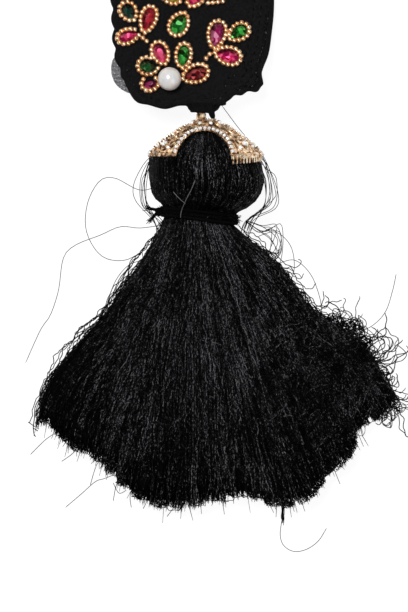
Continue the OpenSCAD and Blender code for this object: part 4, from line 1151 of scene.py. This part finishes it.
# Stitches of the panel: one row along its edge, two rows at the right, and the edges of the
# folded cloth's layers along the hem at the lower right.
def on_panel(x, y, lift=0.0):
    """Point on the panel's top, or so far off it."""
    return [x, y, rise(y) + panel_base + panel_t + lift]


def inset_line(shares, inset_by):
    """Line that runs so far inside the panel's outline."""
    around = panel_edge(shares)
    away = around - panel_mid
    return around - away / np.linalg.norm(away, axis=1, keepdims=True) * inset_by


stitch_pitch, rows_from_x, layer_parts = 3.4, 8, 14
STITCH = [[0, -0.5], [0.6, 0.05], [1.3, 0.12], [2.0, 0.05], [2.6, -0.5]]    # along it, lift
stitch_paths = []
for inset_by, low_x in ((3.4, -99), (5.9, rows_from_x), (9.2, rows_from_x)):
    line = inset_line(np.linspace(0, 1, 1200, endpoint=False), inset_by)
    far = far_along(line)
    for start in np.arange(0, far[-1] - 3, stitch_pitch):
        if np.interp(start, far, line[:, 0]) > low_x:
            stitch_paths.append([on_panel(*columns_at(start + d, far, line), lift) for d, lift in STITCH])
for inset_by, high_y, lift in ((1.6, 96, -0.8), (2.5, 90, 0.091), (3.3, 84, 0.1)):
    line = inset_line(np.linspace(0.09, 0.4, 400), inset_by)
    line = line[(line[:, 0] > rows_from_x) & (line[:, 1] < high_y)]
    for run in np.array_split(line, layer_parts):
        pick = run[np.linspace(0, len(run) - 1, len(STITCH)).astype(int)]
        stitch_paths.append([on_panel(*q, lift) for q in pick])
stitches = threads("panel_stitches", stitch_paths, thread_w, 0.45)
stitches.data.materials.append(silk)
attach(stitches, "root")


# Seed beads: rose-gold glass beads, 2.4 mm across and 2 mm long, strung and sewn down round
# each stone and in short stems between the flowers.
bpy.ops.object.select_all(action="DESELECT")
ring_r, tube_r = 0.62, 0.4       # of the unit, before it is scaled to the bead's size
bpy.ops.mesh.primitive_torus_add(
    major_segments=10, minor_segments=6, major_radius=ring_r, minor_radius=tube_r)
bead_unit = bpy.context.object
across = bead_d / (2 * (ring_r + tube_r))
bpy.ops.transform.resize(value=(across, across, bead_l / (2 * tube_r)))
bpy.ops.object.transform_apply(scale=True)
places = []
bead_rng = np.random.default_rng(5)
for p, way in bead_places:
    slope = rise(p[1] + 0.5) - rise(p[1] - 0.5)
    up = np.array([0, -slope, 1.0])
    up /= np.linalg.norm(up)
    strung = np.array([way[0], way[1], way[1] * slope]) + bead_rng.normal(0, 0.12, 3) * np.linalg.norm(way)
    at = np.array(on_panel(p[0], p[1], -bead_sunk)) + up * bead_d * 0.47
    places.append((at, strung, up, bead_rng.uniform(0.93, 1.04)))
beads = copies("seed_beads", bead_unit, places)
bead_gold, tree, shader = material("bead_gold", (0.85, 0.5, 0.28), 0.2, 0.88, Coat_Weight=0.4,
                                   Coat_Roughness=0.06)
lots = node(tree, "TexVoronoi", {"Vector": object_coords(tree), "Scale": 420}).outputs["Color"]
coloured(tree, shader, node(tree, "SeparateColor", {"Color": lots}).outputs[0], [
    (0, (0.74, 0.38, 0.17)), (0.5, (0.88, 0.52, 0.28)), (1, (0.97, 0.68, 0.43))])
beads.data.materials.append(bead_gold)
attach(beads, "root")


# Gathered neck: the panel's cloth drawn together in pleats into the cap's knob, with a fold
# of it beside the knob and the cord that runs down through the cap.

# Sections of the gathers: share of the way to the cap, half width, half thickness
GATHER = [
    [0, 7.5, 2.2], [0.15, 6.8, 2.2], [0.32, 6.2, 2.1], [0.5, 5.8, 2.0], [0.68, 5.4, 1.9],
    [0.85, 4.9, 1.7], [1, 4.2, 1.4]]
gather_x, gather_pull, gather_lean, pleats, pleat_d = (-1.0, -1.5), 1.6, 52.0, 9, 0.35
knob_side, knob_top, tucked_in = -2.0, 18.6, 1.3
neck_rows, end_rows = 40, 3
# Ends of the side fold: height along the cap, how far right of its middle line, radius
FOLD = [[20.3, 1.7, 1.6], [15.8, 3.1, 1.0]]


def way_out(angle, d):
    """Step of d along the tassel and up, at an angle of the rise."""
    return d * np.array([np.cos(np.radians(angle)), np.sin(np.radians(angle))])


neck_slope = np.degrees(np.arctan(bend * panel_rise / (panel_far - neck_edge)))
gather_from = np.array([neck_edge - 0.15, rise(neck_edge) + panel_base + panel_t / 2])
gather_to = np.array([cap_y, cap_z]) + way_out(cap_lean, knob_top)
curve = [gather_from, gather_from + way_out(180 - neck_slope, gather_pull),
         gather_to + way_out(cap_lean, gather_pull), gather_to]


def neck_place(u, v):
    """Point of the gathers: v runs from the panel to the cap along a curve."""
    rows = v * neck_rows
    t = np.clip((rows - end_rows) / (neck_rows - 2 * end_rows), 0, 1)
    g = row_at(GATHER, place_of(GATHER, t))
    shares = ((1 - t) ** 3, 3 * (1 - t) ** 2 * t, 3 * (1 - t) * t**2, t**3)
    at = sum(point * share[:, None] for point, share in zip(curve, shares))
    at[:, 0] += tucked_in * (1 - t) ** 4
    lean = np.radians(90 - gather_lean * np.sin(np.pi * t))
    w = 2 * np.pi * u
    fold = 1 + np.clip(t * 8, 0, 1) / g[:, 2] * (
        pleat_d / 2 * np.sin(pleats * w) + 0.12 * np.sin(23 * w + 3 * t) + 0.07 * np.sin(31 * w - 9 * t))
    shut = np.clip(np.minimum(rows, neck_rows - rows) / end_rows, 0, 1)
    across = g[:, 1] * np.cos(w) * fold * shut
    up = g[:, 2] * np.sin(w) * fold * shut
    middle_x = gather_x[0] * (1 - t) + gather_x[1] * t
    return np.stack([middle_x - across, at[:, 0] + np.cos(lean) * up, at[:, 1] + np.sin(lean) * up], axis=-1)


neck = wrapped("gathered_cloth", 144, neck_rows, neck_place)


def beside_knob(points):
    """Points of the cap given as right of its middle line, behind it and along it."""
    right = np.radians(90 - cap_turn)
    turn = np.array([[np.cos(right), np.sin(right), 0], [-np.sin(right), np.cos(right), 0], [0, 0, 1]])
    return in_cap(points @ turn)


def fold_place(u, v):
    """Point of the fold beside the knob."""
    h, out, r = columns_at(v, [0, 1], np.array(FOLD)).T
    r = r * np.sqrt(np.clip(1 - (2 * v - 1) ** 4, 0, 1))
    w = 2 * np.pi * u
    r = r * (1 + 0.1 * np.sin(5 * w + 4 * v))
    return beside_knob(np.stack([out + r * np.cos(w), r * np.sin(w), h], axis=-1))


side_fold = wrapped("side_fold", 40, 24, fold_place)
cord_line = beside_knob(np.stack([np.full(20, knob_side), np.zeros(20),
                                 np.linspace(knob_top + 0.6, knob_top - 5.8, 20)], axis=-1))
hidden_cord = wrapped("hidden_cord", 14, 60, cord_form(cord_line, 0.9, 3, 3.0))
gathers = joined("neck_gathers", [neck, side_fold, hidden_cord])
gathers.data.materials.append(black_cloth("gathered_black_cloth", 900, (0.009, 0.009, 0.010)))
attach(gathers, "root")
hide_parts("gathered_neck")


# Net: a scrap of thin grey net that backs the panel and lies flat against its underside.
# It shows past the panel's lower left edge, and its holes are open.

# Outline of the net: x, y
NET_EDGE = [
    [-30, 70.5], [-36, 70.2], [-40.0, 66.4], [-40.8, 61.9], [-40.1, 58.0], [-38.2, 54.9],
    [-35.5, 52.8], [-32.6, 51.7], [-29, 52.6], [-27.4, 58], [-27.8, 65]]
net_t, net_drop = 1.0, 0.3
net_rows, net_under, net_over = 24, 11, 13


def net_place(u, v):
    """Point of the net: v runs from the middle of its underside round the edge to its top."""
    n = len(NET_EDGE)
    edge = row_at(NET_EDGE * 3, u * n + n)
    middle = np.mean(NET_EDGE, axis=0)
    rows = v * net_rows
    scale = np.clip(np.minimum(rows, net_rows - rows) / net_under, 0, 1)[:, None]
    xy = middle + (edge - middle) * scale
    z = rise(xy[:, 1]) - net_drop + net_t * np.clip((rows - net_under) / (net_over - net_under), 0, 1)
    return np.stack([xy[:, 0], xy[:, 1], z], axis=-1)


net = wrapped("net_scrap", 88, net_rows, net_place)
net_mesh, tree, shader = material("grey_net", (0.1, 0.1, 0.105), 0.8, Specular_IOR_Level=0.2)
askew = node(tree, "Mapping", {"Vector": object_coords(tree), "Rotation": (0, 0, 0.6)}).outputs["Vector"]
holes = node(tree, "TexVoronoi", {"Vector": askew, "Scale": 1500, "Randomness": 0.35}).outputs["Distance"]
thread = node(tree, "MapRange", {"Value": holes, "From Min": 0.22, "From Max": 0.5}).outputs[0]
tree.links.new(thread, shader.inputs["Alpha"])
coloured(tree, shader, holes, [(0.2, (0.04, 0.04, 0.045)), (0.6, (0.13, 0.13, 0.14))])
net.data.materials.append(net_mesh)
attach(net, "root")
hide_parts("net_backing")


# Loop: plain sewn loop of black tape at the panel's far end, flat on the table, by which
# the ornament is pinned to a braid.
source = frame["nodes"]["hair_loop"]
bpy.ops.object.select_all(action="DESELECT")
tape = bpy.data.objects.new("loop_tape", source.data.copy())
bpy.context.scene.collection.objects.link(tape)
tape.data.materials.clear()
bpy.context.view_layer.objects.active = tape
tape.select_set(True)
bpy.ops.object.mode_set(mode="EDIT")
bpy.ops.mesh.select_all(action="SELECT")
bpy.ops.mesh.remove_doubles(threshold=1e-6)
bpy.ops.mesh.tris_convert_to_quads()
bpy.ops.object.mode_set(mode="OBJECT")
soften = tape.modifiers.new("soften", "BEVEL")
soften.width = 0.3 * MM
soften.segments = 3
soften.limit_method = "ANGLE"
bpy.ops.object.modifier_apply(modifier=soften.name)
tape.data.materials.append(black_cloth("black_tape", 1100, (0.010, 0.010, 0.011)))
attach(tape, "root")
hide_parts("hair_loop")
